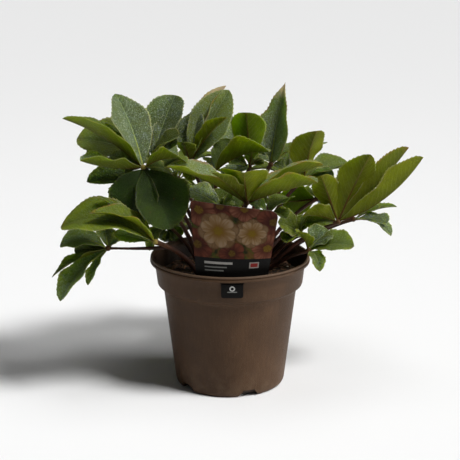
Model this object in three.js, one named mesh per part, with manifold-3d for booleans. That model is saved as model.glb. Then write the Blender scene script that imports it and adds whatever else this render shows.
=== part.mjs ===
// A hellebore in a three-litre nursery pot, with its picture label tucked into the rim.
// Millimetres, +Z up. The origin is the middle of the pot's flat underside.
// -Y is the front, where the label stands.

import * as THREE from 'three';
import { mergeVertices } from 'three/addons/utils/BufferGeometryUtils.js';
import Module from 'manifold-3d';

const wasm = await Module();
wasm.setup();

// ---- driving dimensions -------------------------------------------------------------

const CLEARANCE = 0.3;        // between pieces that touch

// pot
const POT_HEIGHT = 158;
const RIM_RADIUS = 95.5;
const COLLAR_TOP_RADIUS = 90.3;
const COLLAR_FOOT_RADIUS = 87;
const COLLAR_FOOT = 125;      // height where the collar steps in to the wall
const RIM_UNDERSIDE = 151.4;
const WALL_TOP_RADIUS = 79.5;
const BASE_RADIUS = 61;
const CORNER_RADIUS = 66;
const WALL = 1.7;
const FLOOR = 2.2;
const POT_SIDES = 32;

// drainage channels, pressed up into the base
const CHANNELS = 5;
const FIRST_CHANNEL_DEG = -70;
const CHANNEL_INNER_END = 30;
const CHANNEL_HEIGHT = 9;
const CHANNEL_FOOT_WIDTH = 27;
const CHANNEL_ROOF_WIDTH = 14;
const DRAIN_RADIUS = 2.6;

// compost and crown
const COMPOST_TOP = 137;
const CROWN_TOP = 127.4;
const CROWN_RADIUS = 42;
const CROWN_DEPTH = 16;
const CROWN_SIDES = 20;

// leaf stalks
const STALK_SIDES = 5;
const STALK_STEPS = 6;
const KNUCKLE_RADIUS = 4;   // where the leaflets of one leaf meet
const SUNK_ROOT = 2.2;        // how near the knuckle's middle each leaflet begins

// leaflets
const BLADE = 1.0;            // thickness
const BLADE_STEPS = 5;        // from base to tip, closer together towards the tip
const STEP_CROWDING = 1.3;
const BASE_HALF_WIDTH = 1;
const TIP_HALF_WIDTH = 0.3;
const DEFAULT_FOLD = 28;      // degrees that each half rises from the midrib
const DEFAULT_BELLY = 0.63;   // where along the leaflet it is widest
const KEENNESS = 1.67;        // how sharply the outline narrows to both ends
const UNFOLDING = 0.35;       // how much flatter the fold is at the tip
const WAVE = 0.035;           // margin wave, as a share of the leaflet's width
const WAVES = 1.5;

// label: a bent card inside the rim, with a tongue hooked out through a slot
const CARD_THICKNESS = 0.8;
const CARD_BOTTOM = 134;
const CARD_HEM = 158;         // height of the rim, where the card comes into view
const TONGUE_LEFT = -10;
const TONGUE_RIGHT = 15;
const TONGUE_TOP = 150;
const TONGUE_BOTTOM = 132;

// ---- the leaves ---------------------------------------------------------------------
// foot: where the stalk rises from the crown. palm: where the leaflets meet.
// A leaflet is [heading, rise, length, width, arch, roll, fold, belly]: degrees and mm.
// Heading 0 is +X and 90 is +Y; arch is how far the midrib bows up from its chord.

const LEAVES = {
  front_left_tall: {
    foot: [-22, -8], palm: [-100, -30, 271],
    leaflets: [
      [130, 56, 95, 47, 7, -6, 26, 0.54], [-174, 33, 108, 60, 6, 10, 32],
      [-156, 11, 77, 50, -4, 5, 40], [-28, 11, 59, 38, 8, -22, 30],
      [-140, -73, 66, 62, 8, -40, 28, 0.48], [-44, -54, 80, 68, 10, 30, 28, 0.6],
    ],
  },
  back_left_tall: {
    foot: [-21, 6], palm: [-93, 25, 268],
    leaflets: [
      [58, 54, 87, 58, 4, 5, 28, 0.62], [40, 42, 65, 46, 4, 30], [-39, 38, 55, 44, 4, 30],
      [156, 32, 76, 44, 6, 0], [177, 15, 93, 62, 8, -35], [-170, 4, 80, 56, 8, -15],
    ],
  },
  left_middle: {
    foot: [-30, -2], palm: [-94, -5, 243],
    leaflets: [
      [-168, 7, 75, 40, 8, -25], [1, -13, 55, 30, 6, 30], [12, 40, 48, 28, 6, 10],
    ],
  },
  centre_left_tall: {
    foot: [-10, 2], palm: [-47, 5, 268],
    leaflets: [
      [28, 58, 98, 50, 5, 45, 28, 0.55], [47, 54, 105, 46, 8, -20], [59, 73, 61, 40, 4, 0],
      [-34, 49, 80, 24, 6, -20, 42], [-106, 49, 40, 24, 2, 0], [45, 30, 89, 36, 4, 0],
    ],
  },
  centre_low: {
    foot: [-6, -11], palm: [-20, -20, 263],
    leaflets: [
      [-22, 23, 76, 52, 8, -28, 40], [55, 36, 53, 30, 6, 5], [85, 4, 50, 30, 4, 0],
    ],
  },
  centre_young: {
    foot: [8, 6], palm: [23, 20, 261],
    leaflets: [
      [-100, 70, 74, 44, 4, 0], [-24, 21, 26, 24, 4, 0], [-81, 44, 35, 18, 2, 0],
      [-124, -10, 49, 32, 4, 0],
    ],
  },
  centre_spire: {
    foot: [12, 16], palm: [49, 40, 259],
    leaflets: [
      [51, 74, 100, 60, 2, 0, 30, 0.25], [120, 60, 60, 44, 4, 0], [20, 20, 50, 36, 6, 0],
    ],
  },
  right_tall: {
    foot: [18, -2], palm: [87, 10, 247],
    leaflets: [
      [-62, 66, 70, 48, 3, 0, 28, 0.6], [22, 8, 66, 52, 5, 8, 35],
    ],
  },
  right_broad: {
    foot: [33, -9], palm: [127, -15, 202],
    leaflets: [
      [-22, 66, 92, 44, 4, -60, 28, 0.56], [-9, 40, 126, 46, -12, -34, 50],
      [10, 46, 120, 40, -4, -46, 45], [-142, 65, 66, 32, 6, 55], [-164, 13, 45, 42, 4, 36],
    ],
  },
  front_centre: {
    foot: [3, -26], palm: [19, -65, 238],
    leaflets: [
      [9, 25, 97, 52, 4, -10, 42], [-21, 20, 89, 56, 2, -16, 42], [-95, 46, 62, 56, 2, 0, 35],
      [-138, 39, 68, 34, 2, 0], [177, 24, 99, 50, 4, 0, 42],
    ],
  },
  right_inner: {
    foot: [24, 13], palm: [105, 34, 218],
    leaflets: [
      [148, -12, 51, 46, -3, 86], [45, 2, 52, 22, 6, 0],
    ],
  },
  right_far: {
    foot: [34, 11], palm: [149, 28, 194],
    leaflets: [
      [-41, 3, 48, 42, 4, 0, 15], [-30, -16, 52, 30, 8, 0], [5, 15, 55, 22, 4, 0],
    ],
  },
  front_right_low: {
    foot: [26, -24], palm: [91, -50, 177],
    leaflets: [
      [-16, 10, 54, 40, 6, 25], [21, 36, 34, 40, 4, 20], [-73, -21, 40, 18, 8, 0],
      [-146, 55, 31, 30, 3, 0],
    ],
  },
  right_low: {
    foot: [34, 1], palm: [83, 0, 182],
    leaflets: [
      [28, 60, 25, 26, 4, 0], [29, 33, 25, 32, 4, 0], [-158, 33, 34, 36, 3, -45],
      [-126, -6, 30, 26, 4, 0],
    ],
  },
  left_low_broad: {
    foot: [-30, -18], palm: [-85, -70, 193], stalk: 3.2,
    leaflets: [
      [175, 8, 110, 60, 22, -26, 25], [-166, 27, 84, 34, 12, -12, 45, 0.5],
      [175, 39, 84, 16, 2, 0],
    ],
  },
  left_low_far: {
    branchOf: 'left_low_broad', palm: [-142, -40, 177], stalk: 1.8,
    leaflets: [
      [180, 3, 56, 44, 10, -20, 25], [106, 42, 28, 24, 2, 0], [34, 22, 19, 34, 2, 0],
      [-167, -25, 73, 28, 5, 0, 28, 0.45], [-147, -40, 83, 42, 6, 0], [-131, -48, 50, 15, 4, 0],
    ],
  },
  behind_label_left: {
    foot: [-14, -20], palm: [-8, -42, 224],
    leaflets: [
      [164, 24, 47, 32, 5, -30], [-168, 4, 40, 32, 4, 0], [40, 61, 24, 40, 4, 0],
    ],
  },
  behind_label_right: {
    foot: [16, -20], palm: [44, -46, 220],
    leaflets: [
      [180, 30, 32, 34, 4, -18], [54, 14, 44, 34, 4, 0], [-50, 0, 30, 28, 4, 0],
    ],
  },
  back_left: {
    foot: [-16, 22], palm: [-64, 80, 232], fan: { heading: 128, rise: 28, length: 78 },
  },
  back_centre: {
    foot: [0, 24], palm: [4, 96, 246], fan: { heading: 88, rise: 32, length: 80 },
  },
  back_right: {
    foot: [14, 27], palm: [74, 84, 230], fan: { heading: 48, rise: 28, length: 78 },
  },
  back_left_low: {
    foot: [-30, 14], palm: [-77, 62, 177], fan: { heading: 120, rise: -8, length: 60 },
  },
  back_right_low: {
    foot: [28, 24], palm: [118, 86, 200], fan: { heading: 28, rise: 20, length: 72 },
  },
  back_skirt_left: {
    foot: [-9, 34], palm: [-30, 124, 198], fan: { heading: 104, rise: 18, length: 70 },
  },
  back_skirt_right: {
    foot: [9, 35], palm: [50, 130, 184], fan: { heading: 66, rise: 18, length: 70 },
  },
};

// a leaf seen whole: its leaflets spread evenly round its heading and droop to the sides
const FAN_LEAFLETS = 5;
const FAN_STEP = 58;
const FAN_DROOP = 12;
const FAN_SHORTENING = 0.13;  // of a leaflet's length, for each place from the middle
const FAN_WIDTH = 0.5;        // width as a share of length
const FAN_ARCH = 10;

// ---- colours ------------------------------------------------------------------------

const plastic = (color, roughness) => new THREE.MeshStandardMaterial({ color, roughness, metalness: 0 });
const POT_BROWN = plastic(0x6b5a4d, 0.62);
const COMPOST_BROWN = plastic(0x2b1d14, 0.95);
const CROWN_BROWN = plastic(0x4a3020, 0.9);
const LEAF_GREEN = plastic(0x4f6b34, 0.5);
const STALK_RED = plastic(0x55281c, 0.55);
const LABEL_BLACK = plastic(0x1d1b1a, 0.4);

// ---- solids -------------------------------------------------------------------------

const radians = THREE.MathUtils.degToRad;

function solid(geometry) {
  const bare = geometry.clone();
  bare.deleteAttribute('normal');
  bare.deleteAttribute('uv');
  const merged = mergeVertices(bare, 1e-4);
  return new wasm.Manifold(new wasm.Mesh({
    numProp: 3,
    vertProperties: Float32Array.from(merged.attributes.position.array),
    triVerts: Uint32Array.from(merged.index.array),
  }));
}

function geometryOf(manifold) {
  const mesh = manifold.getMesh();
  const geometry = new THREE.BufferGeometry();
  geometry.setAttribute('position', new THREE.Float32BufferAttribute(mesh.vertProperties, 3));
  geometry.setIndex(Array.from(mesh.triVerts));
  geometry.computeVertexNormals();
  return geometry;
}

function join(solids) {
  return solids.reduce((whole, piece) => whole.add(piece));
}

function lathe(profile, sides = POT_SIDES) {
  const points = profile.map(([radius, height]) => new THREE.Vector2(radius, height));
  return solid(new THREE.LatheGeometry(points, sides).rotateX(Math.PI / 2));
}

// ---- pot ----------------------------------------------------------------------------

const OUTER_PROFILE = [
  [0, 0], [BASE_RADIUS, 0], [BASE_RADIUS + 3.2, 1.6], [CORNER_RADIUS, 6],
  [WALL_TOP_RADIUS, COLLAR_FOOT - 7], [WALL_TOP_RADIUS + 1.4, COLLAR_FOOT - 4.4],
  [COLLAR_FOOT_RADIUS - 0.4, COLLAR_FOOT - 0.6], [COLLAR_FOOT_RADIUS, COLLAR_FOOT + 1],
  [COLLAR_TOP_RADIUS, RIM_UNDERSIDE], [RIM_RADIUS - 0.6, RIM_UNDERSIDE],
  [RIM_RADIUS, RIM_UNDERSIDE + 1], [RIM_RADIUS - 0.6, POT_HEIGHT - 0.9], [RIM_RADIUS - 1.8, POT_HEIGHT],
];

// the inside, drawn from its floor up; `gap` shrinks it all round
function innerProfile(gap) {
  return [
    [0, FLOOR + gap], [BASE_RADIUS - 0.6 - gap, FLOOR + gap], [CORNER_RADIUS - WALL - gap, 7.2],
    [WALL_TOP_RADIUS - WALL - gap, COLLAR_FOOT - 6],
    [COLLAR_FOOT_RADIUS - WALL - gap, COLLAR_FOOT + 1.4 + gap],
  ];
}

const INSIDE_RIM = [
  [COLLAR_TOP_RADIUS - WALL, RIM_UNDERSIDE], [RIM_RADIUS - 4, POT_HEIGHT - 2.4],
  [RIM_RADIUS - 3.4, POT_HEIGHT],
];

// a channel runs out along a radius: a ridge of trapezoid section, `grow` thicker all round
function channelBar(grow) {
  const foot = CHANNEL_FOOT_WIDTH / 2 + grow;
  const roof = CHANNEL_ROOF_WIDTH / 2 + grow;
  const section = new THREE.Shape();
  section.moveTo(-foot, -1).lineTo(foot, -1);
  section.lineTo(roof, CHANNEL_HEIGHT + grow).lineTo(-roof, CHANNEL_HEIGHT + grow);
  section.closePath();
  const inner = CHANNEL_INNER_END - grow;
  const bar = new THREE.ExtrudeGeometry(section, { depth: RIM_RADIUS - inner, bevelEnabled: false });
  return bar.rotateX(Math.PI / 2).rotateZ(Math.PI / 2).translate(inner, 0, 0);
}

function roundTheBase(makeGeometry) {
  const pieces = [];
  for (let k = 0; k < CHANNELS; k += 1) {
    const turn = radians(FIRST_CHANNEL_DEG + (360 / CHANNELS) * k);
    pieces.push(solid(makeGeometry().rotateZ(turn)));
  }
  return join(pieces);
}

function drainHole() {
  const middle = (CHANNEL_FOOT_WIDTH + CHANNEL_ROOF_WIDTH) / 4;
  return new THREE.CylinderGeometry(DRAIN_RADIUS, DRAIN_RADIUS, 24, 8)
    .rotateX(Math.PI / 2).translate(BASE_RADIUS - 5, middle, 8);
}

function tongueSlot() {
  const width = TONGUE_RIGHT - TONGUE_LEFT + 2;
  return solid(new THREE.BoxGeometry(width, 20, 2)
    .translate((TONGUE_LEFT + TONGUE_RIGHT) / 2, -COLLAR_TOP_RADIUS, TONGUE_TOP - 0.4));
}

function potSolid() {
  const outer = lathe([...OUTER_PROFILE, [0, POT_HEIGHT]]);
  const above = POT_HEIGHT + 5;
  const inner = lathe([...innerProfile(0), ...INSIDE_RIM, [RIM_RADIUS - 3.4, above], [0, above]]);
  const roofs = roundTheBase(() => channelBar(WALL)).intersect(outer);
  return outer.subtract(inner).add(roofs)
    .subtract(roundTheBase(() => channelBar(0)))
    .subtract(roundTheBase(drainHole))
    .subtract(tongueSlot());
}

// ---- label --------------------------------------------------------------------------

const CARD_CORNERS = {
  lowerLeft: new THREE.Vector3(-39, -76, CARD_HEM),
  lowerRight: new THREE.Vector3(44, -73, CARD_HEM),
  upperLeft: new THREE.Vector3(-45, -84, 246),
  upperRight: new THREE.Vector3(54, -108, 239),
};
const CARD_BULGE_LOW = 9.5;
const CARD_BULGE_HIGH = 4;
const CARD_COLUMNS = 8;
const CARD_ROWS = 5;

// a point of the card: across from -1 to 1, up from 0 at the rim to 1 at the top edge
function cardPoint(across, up) {
  const { lowerLeft, lowerRight, upperLeft, upperRight } = CARD_CORNERS;
  const share = (across + 1) / 2;
  const low = lowerLeft.clone().lerp(lowerRight, share);
  const high = upperLeft.clone().lerp(upperRight, share);
  const shown = Math.max(up, 0);
  const point = low.clone().lerp(high, shown);
  point.y -= THREE.MathUtils.lerp(CARD_BULGE_LOW, CARD_BULGE_HIGH, shown) * (1 - across * across);
  if (up < 0) point.z = THREE.MathUtils.lerp(CARD_HEM, CARD_BOTTOM, -up);
  return point;
}

// a closed sheet between two copies of one grid; both are split along the same diagonals
function sheet(rows, columns, point, offset) {
  const positions = [];
  const index = [];
  const at = (side, i, j) => side * (rows + 1) * (columns + 1) + i * (columns + 1) + j;
  for (const side of [1, -1]) {
    for (let i = 0; i <= rows; i += 1) {
      for (let j = 0; j <= columns; j += 1) {
        const p = point(i, j).addScaledVector(offset, side / 2);
        positions.push(p.x, p.y, p.z);
      }
    }
  }
  const quad = (a, b, c, d) => index.push(a, b, c, a, c, d);
  for (let i = 0; i < rows; i += 1) {
    for (let j = 0; j < columns; j += 1) {
      quad(at(0, i, j), at(0, i, j + 1), at(0, i + 1, j + 1), at(0, i + 1, j));
      index.push(at(1, i, j), at(1, i + 1, j + 1), at(1, i, j + 1));
      index.push(at(1, i, j), at(1, i + 1, j), at(1, i + 1, j + 1));
    }
    quad(at(0, i, columns), at(1, i, columns), at(1, i + 1, columns), at(0, i + 1, columns));
    quad(at(0, i + 1, 0), at(1, i + 1, 0), at(1, i, 0), at(0, i, 0));
  }
  for (let j = 0; j < columns; j += 1) {
    quad(at(0, 0, j), at(1, 0, j), at(1, 0, j + 1), at(0, 0, j + 1));
    quad(at(0, rows, j + 1), at(1, rows, j + 1), at(1, rows, j), at(0, rows, j));
  }
  const geometry = new THREE.BufferGeometry();
  geometry.setAttribute('position', new THREE.Float32BufferAttribute(positions, 3));
  geometry.setIndex(index);
  return geometry;
}

function outward(manifold, geometry) {
  if (manifold.volume() >= 0) return manifold;
  const index = geometry.index.array;
  for (let k = 0; k < index.length; k += 3) [index[k], index[k + 1]] = [index[k + 1], index[k]];
  return solid(geometry);
}

function cardGeometry(thickness) {
  const grid = (i, j) => {
    const up = THREE.MathUtils.lerp(-1, 1, i / CARD_ROWS);
    const across = THREE.MathUtils.lerp(-1, 1, j / CARD_COLUMNS);
    return cardPoint(across, up);
  };
  return sheet(CARD_ROWS, CARD_COLUMNS, grid, new THREE.Vector3(0, -thickness, 0));
}

function tongueGeometry() {
  const inside = -84;
  const outside = -91.6;
  const profile = new THREE.Shape();
  const drop = TONGUE_TOP - TONGUE_BOTTOM;
  const slant = 2.2;          // the tongue follows the collar in as it hangs
  profile.moveTo(inside, 0).lineTo(outside, 0).lineTo(outside + slant, -drop);
  profile.lineTo(outside + slant + CARD_THICKNESS, -drop).lineTo(outside + CARD_THICKNESS, -CARD_THICKNESS);
  profile.lineTo(inside, -CARD_THICKNESS).closePath();
  const width = TONGUE_RIGHT - TONGUE_LEFT;
  return new THREE.ExtrudeGeometry(profile, { depth: width, bevelEnabled: false })
    .rotateX(Math.PI / 2).rotateZ(Math.PI / 2).translate(TONGUE_LEFT, 0, TONGUE_TOP);
}

// ---- leaves -------------------------------------------------------------------------

function fanLeaflets({ heading, rise, length }) {
  const rows = [];
  for (let k = 0; k < FAN_LEAFLETS; k += 1) {
    const side = k - (FAN_LEAFLETS - 1) / 2;
    const long = length * (1 - FAN_SHORTENING * Math.abs(side));
    const droop = FAN_DROOP * Math.abs(side);
    rows.push([heading + side * FAN_STEP, rise - droop, long, long * FAN_WIDTH, FAN_ARCH, 0]);
  }
  return rows;
}

function leafletAxes(heading, rise, roll) {
  const [h, r, t] = [heading, rise, roll].map(radians);
  const along = new THREE.Vector3(Math.cos(r) * Math.cos(h), Math.cos(r) * Math.sin(h), Math.sin(r));
  const level = new THREE.Vector3(-Math.sin(r) * Math.cos(h), -Math.sin(r) * Math.sin(h), Math.cos(r));
  const side = along.clone().cross(level);
  const up = level.clone().multiplyScalar(Math.cos(t)).addScaledVector(side, Math.sin(t));
  return { along, up, across: side.multiplyScalar(Math.cos(t)).addScaledVector(level, -Math.sin(t)) };
}

// half width at a share u of the length, 1 at the belly and 0 at both ends
function outline(u, belly) {
  return (u / belly) ** (KEENNESS * belly) * ((1 - u) / (1 - belly)) ** (KEENNESS * (1 - belly));
}

function leafletPoint(palm, row, u, v) {
  const [heading, rise, length, width, arch, roll, fold = DEFAULT_FOLD, belly = DEFAULT_BELLY] = row;
  const { along, up, across } = leafletAxes(heading, rise, roll);
  const least = THREE.MathUtils.lerp(BASE_HALF_WIDTH, TIP_HALF_WIDTH, u);
  const half = Math.max(least, outline(u, belly) * width / 2);
  const lift = radians(fold) * (1 - UNFOLDING * u);
  const wave = WAVE * width * Math.sin(Math.PI * u) * Math.sin(2 * Math.PI * WAVES * u + v);
  return new THREE.Vector3(...palm)
    .addScaledVector(along, THREE.MathUtils.lerp(SUNK_ROOT, length, u))
    .addScaledVector(up, arch * 4 * u * (1 - u) + Math.abs(v) * (half * Math.sin(lift) + wave))
    .addScaledVector(across, v * half * Math.cos(lift));
}

function leafletSolid(palm, row) {
  const { up } = leafletAxes(row[0], row[1], row[5]);
  const grid = (i, j) => leafletPoint(palm, row, 1 - (1 - i / BLADE_STEPS) ** STEP_CROWDING, j - 1);
  const geometry = sheet(BLADE_STEPS, 2, grid, up.multiplyScalar(BLADE));
  return outward(solid(geometry), geometry);
}

// the outer shell alone, without a hollow that joining sealed or a scrap that it cut off
function outerShell(manifold) {
  const shells = manifold.decompose();
  return shells.reduce((largest, shell) => (shell.volume() > largest.volume() ? shell : largest));
}

const FACET_SLOPE = 0.795;    // a facet's distance from the knuckle's middle, for radius 1

// the knuckle, with each of its facets moved out by `grow`
function knuckleSolid(palm, grow = 0) {
  return solid(new THREE.IcosahedronGeometry(KNUCKLE_RADIUS + grow / FACET_SLOPE, 0).translate(...palm));
}

function leafSolid({ palm, leaflets, fan }) {
  const rows = leaflets ?? fanLeaflets(fan);
  return outerShell(join([knuckleSolid(palm), ...rows.map((row) => leafletSolid(palm, row))]));
}

// the stalk leaves the crown steeply, leans over to its palm and ends against the knuckle
const STALK_BOW = 0.35;

function stalkCurve(foot, palm) {
  const middle = foot.clone().lerp(palm, 0.5 - STALK_BOW / 2);
  middle.z = THREE.MathUtils.lerp(foot.z, palm.z, 0.5 + STALK_BOW / 2);
  const lean = palm.clone().sub(middle).normalize();
  const end = palm.clone().addScaledVector(lean, -KNUCKLE_RADIUS * 0.96);
  return new THREE.QuadraticBezierCurve3(foot, middle, end);
}

function stalkTube(curve, radius) {
  const section = new THREE.Shape();
  for (let k = 0; k < STALK_SIDES; k += 1) {
    const turn = (2 * Math.PI * k) / STALK_SIDES;
    const corner = [radius * Math.cos(turn), radius * Math.sin(turn)];
    if (k === 0) section.moveTo(...corner);
    else section.lineTo(...corner);
  }
  section.closePath();
  const along = { steps: STALK_STEPS, extrudePath: curve, bevelEnabled: false };
  return solid(new THREE.ExtrudeGeometry(section, along));
}

const STALK_RADIUS = 2.6;
const STALK_FOOT = CROWN_TOP - 2;   // below the crown's top, so that the crown cuts it level
const BRANCH_SHARE = 0.8;     // how far up the carrying stalk a branch leaves it

function stalkOf(leaf) {
  const foot = new THREE.Vector3(...leaf.foot, STALK_FOOT);
  return stalkCurve(foot, new THREE.Vector3(...leaf.palm));
}

function stalkSolid(name, grow = 0) {
  const leaf = LEAVES[name];
  const own = stalkTube(stalkOf(leaf), (leaf.stalk ?? STALK_RADIUS) + grow);
  const branches = Object.values(LEAVES).filter((other) => other.branchOf === name);
  const tubes = branches.map((branch) => {
    const start = stalkOf(leaf).getPoint(BRANCH_SHARE);
    return stalkTube(stalkCurve(start, new THREE.Vector3(...branch.palm)), branch.stalk + grow);
  });
  const knuckles = [leaf, ...branches].map(({ palm }) => knuckleSolid(palm, CLEARANCE));
  return join([own, ...tubes]).subtract(join(knuckles));
}

// ---- compost and crown --------------------------------------------------------------

function crownSolid(grow) {
  const r = CROWN_RADIUS + grow;
  const top = CROWN_TOP + grow;
  const bottom = CROWN_TOP - CROWN_DEPTH - grow;
  const section = [
    [0, bottom], [r * 0.6, bottom], [r * 0.9, bottom + 4], [r, top - 5], [r * 0.92, top], [0, top],
  ];
  return lathe(section, CROWN_SIDES);
}

// clods: a gentle fixed unevenness of the compost's surface
function clods(x, y) {
  return 1.6 * Math.sin(x * 0.11 + 0.6) * Math.cos(y * 0.13) + 0.9 * Math.sin(x * 0.27 - y * 0.23);
}

const COMPOST_RINGS = [[85.9, 133], [72, 137], [48, 138], [22, 137]];

function compostSolid(stalks, card) {
  const profile = [...innerProfile(CLEARANCE), ...COMPOST_RINGS, [0, COMPOST_TOP]];
  const points = profile.map(([radius, height]) => new THREE.Vector2(radius, height));
  const geometry = new THREE.LatheGeometry(points, POT_SIDES).rotateX(Math.PI / 2);
  const position = geometry.attributes.position;
  for (let k = 0; k < position.count; k += 1) {
    const [x, y, z] = [position.getX(k), position.getY(k), position.getZ(k)];
    if (z > 135) position.setZ(k, z + clods(x, y));
  }
  const holes = join(stalks);
  return solid(geometry)
    .subtract(roundTheBase(() => channelBar(WALL + CLEARANCE)))
    .subtract(crownSolid(CLEARANCE)).subtract(holes).subtract(card);
}

// ---- the plant in its pot -----------------------------------------------------------

const plant = new THREE.Group();

function addPiece(name, manifold, material) {
  const piece = new THREE.Mesh(geometryOf(manifold), material);
  piece.name = name;
  plant.add(piece);
}

const stalkNames = Object.keys(LEAVES).filter((name) => !LEAVES[name].branchOf);
const cardShape = cardGeometry(CARD_THICKNESS);
const label = outward(solid(cardShape), cardShape).add(solid(tongueGeometry()));
const slitShape = cardGeometry(CARD_THICKNESS + 2 * CLEARANCE);
const slit = outward(solid(slitShape), slitShape);
const stalkHoles = stalkNames.map((name) => stalkSolid(name, CLEARANCE));

addPiece('pot', potSolid(), POT_BROWN);
addPiece('compost', compostSolid(stalkHoles, slit), COMPOST_BROWN);
addPiece('crown', crownSolid(0), CROWN_BROWN);
addPiece('label', label, LABEL_BLACK);
const seat = crownSolid(CLEARANCE);
for (const name of stalkNames) addPiece(`stalk_${name}`, stalkSolid(name).subtract(seat), STALK_RED);
for (const [name, leaf] of Object.entries(LEAVES)) addPiece(`leaf_${name}`, leafSolid(leaf), LEAF_GREEN);

export default plant;
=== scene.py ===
import math
from types import SimpleNamespace

import bpy
import numpy as np
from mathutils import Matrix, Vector


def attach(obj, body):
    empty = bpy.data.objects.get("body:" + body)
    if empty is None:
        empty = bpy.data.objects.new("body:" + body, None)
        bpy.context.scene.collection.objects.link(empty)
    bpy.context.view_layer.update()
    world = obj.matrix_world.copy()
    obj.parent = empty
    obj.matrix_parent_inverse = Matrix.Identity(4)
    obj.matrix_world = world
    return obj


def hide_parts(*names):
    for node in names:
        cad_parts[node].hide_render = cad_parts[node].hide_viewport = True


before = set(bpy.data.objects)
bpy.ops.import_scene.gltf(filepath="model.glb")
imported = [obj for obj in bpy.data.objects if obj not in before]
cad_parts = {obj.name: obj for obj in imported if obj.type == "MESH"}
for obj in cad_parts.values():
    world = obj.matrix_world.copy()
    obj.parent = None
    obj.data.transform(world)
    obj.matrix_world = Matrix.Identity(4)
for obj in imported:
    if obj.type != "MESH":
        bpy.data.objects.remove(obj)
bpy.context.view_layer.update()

MM = 0.001
BODY = "root"

# ---- leaves ----
# foot: where the stalk rises from the crown. palm: where the leaflets meet. fan: five leaflets
# laid out by a rule. A leaflet is (tint, heading, rise, length, width, arch, roll, fold, belly);
# the tint is its ripeness, or for a few leaflets painted shade and painted light instead.
# The small ones fill in close to the joint and are in the finished plant only.

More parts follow.
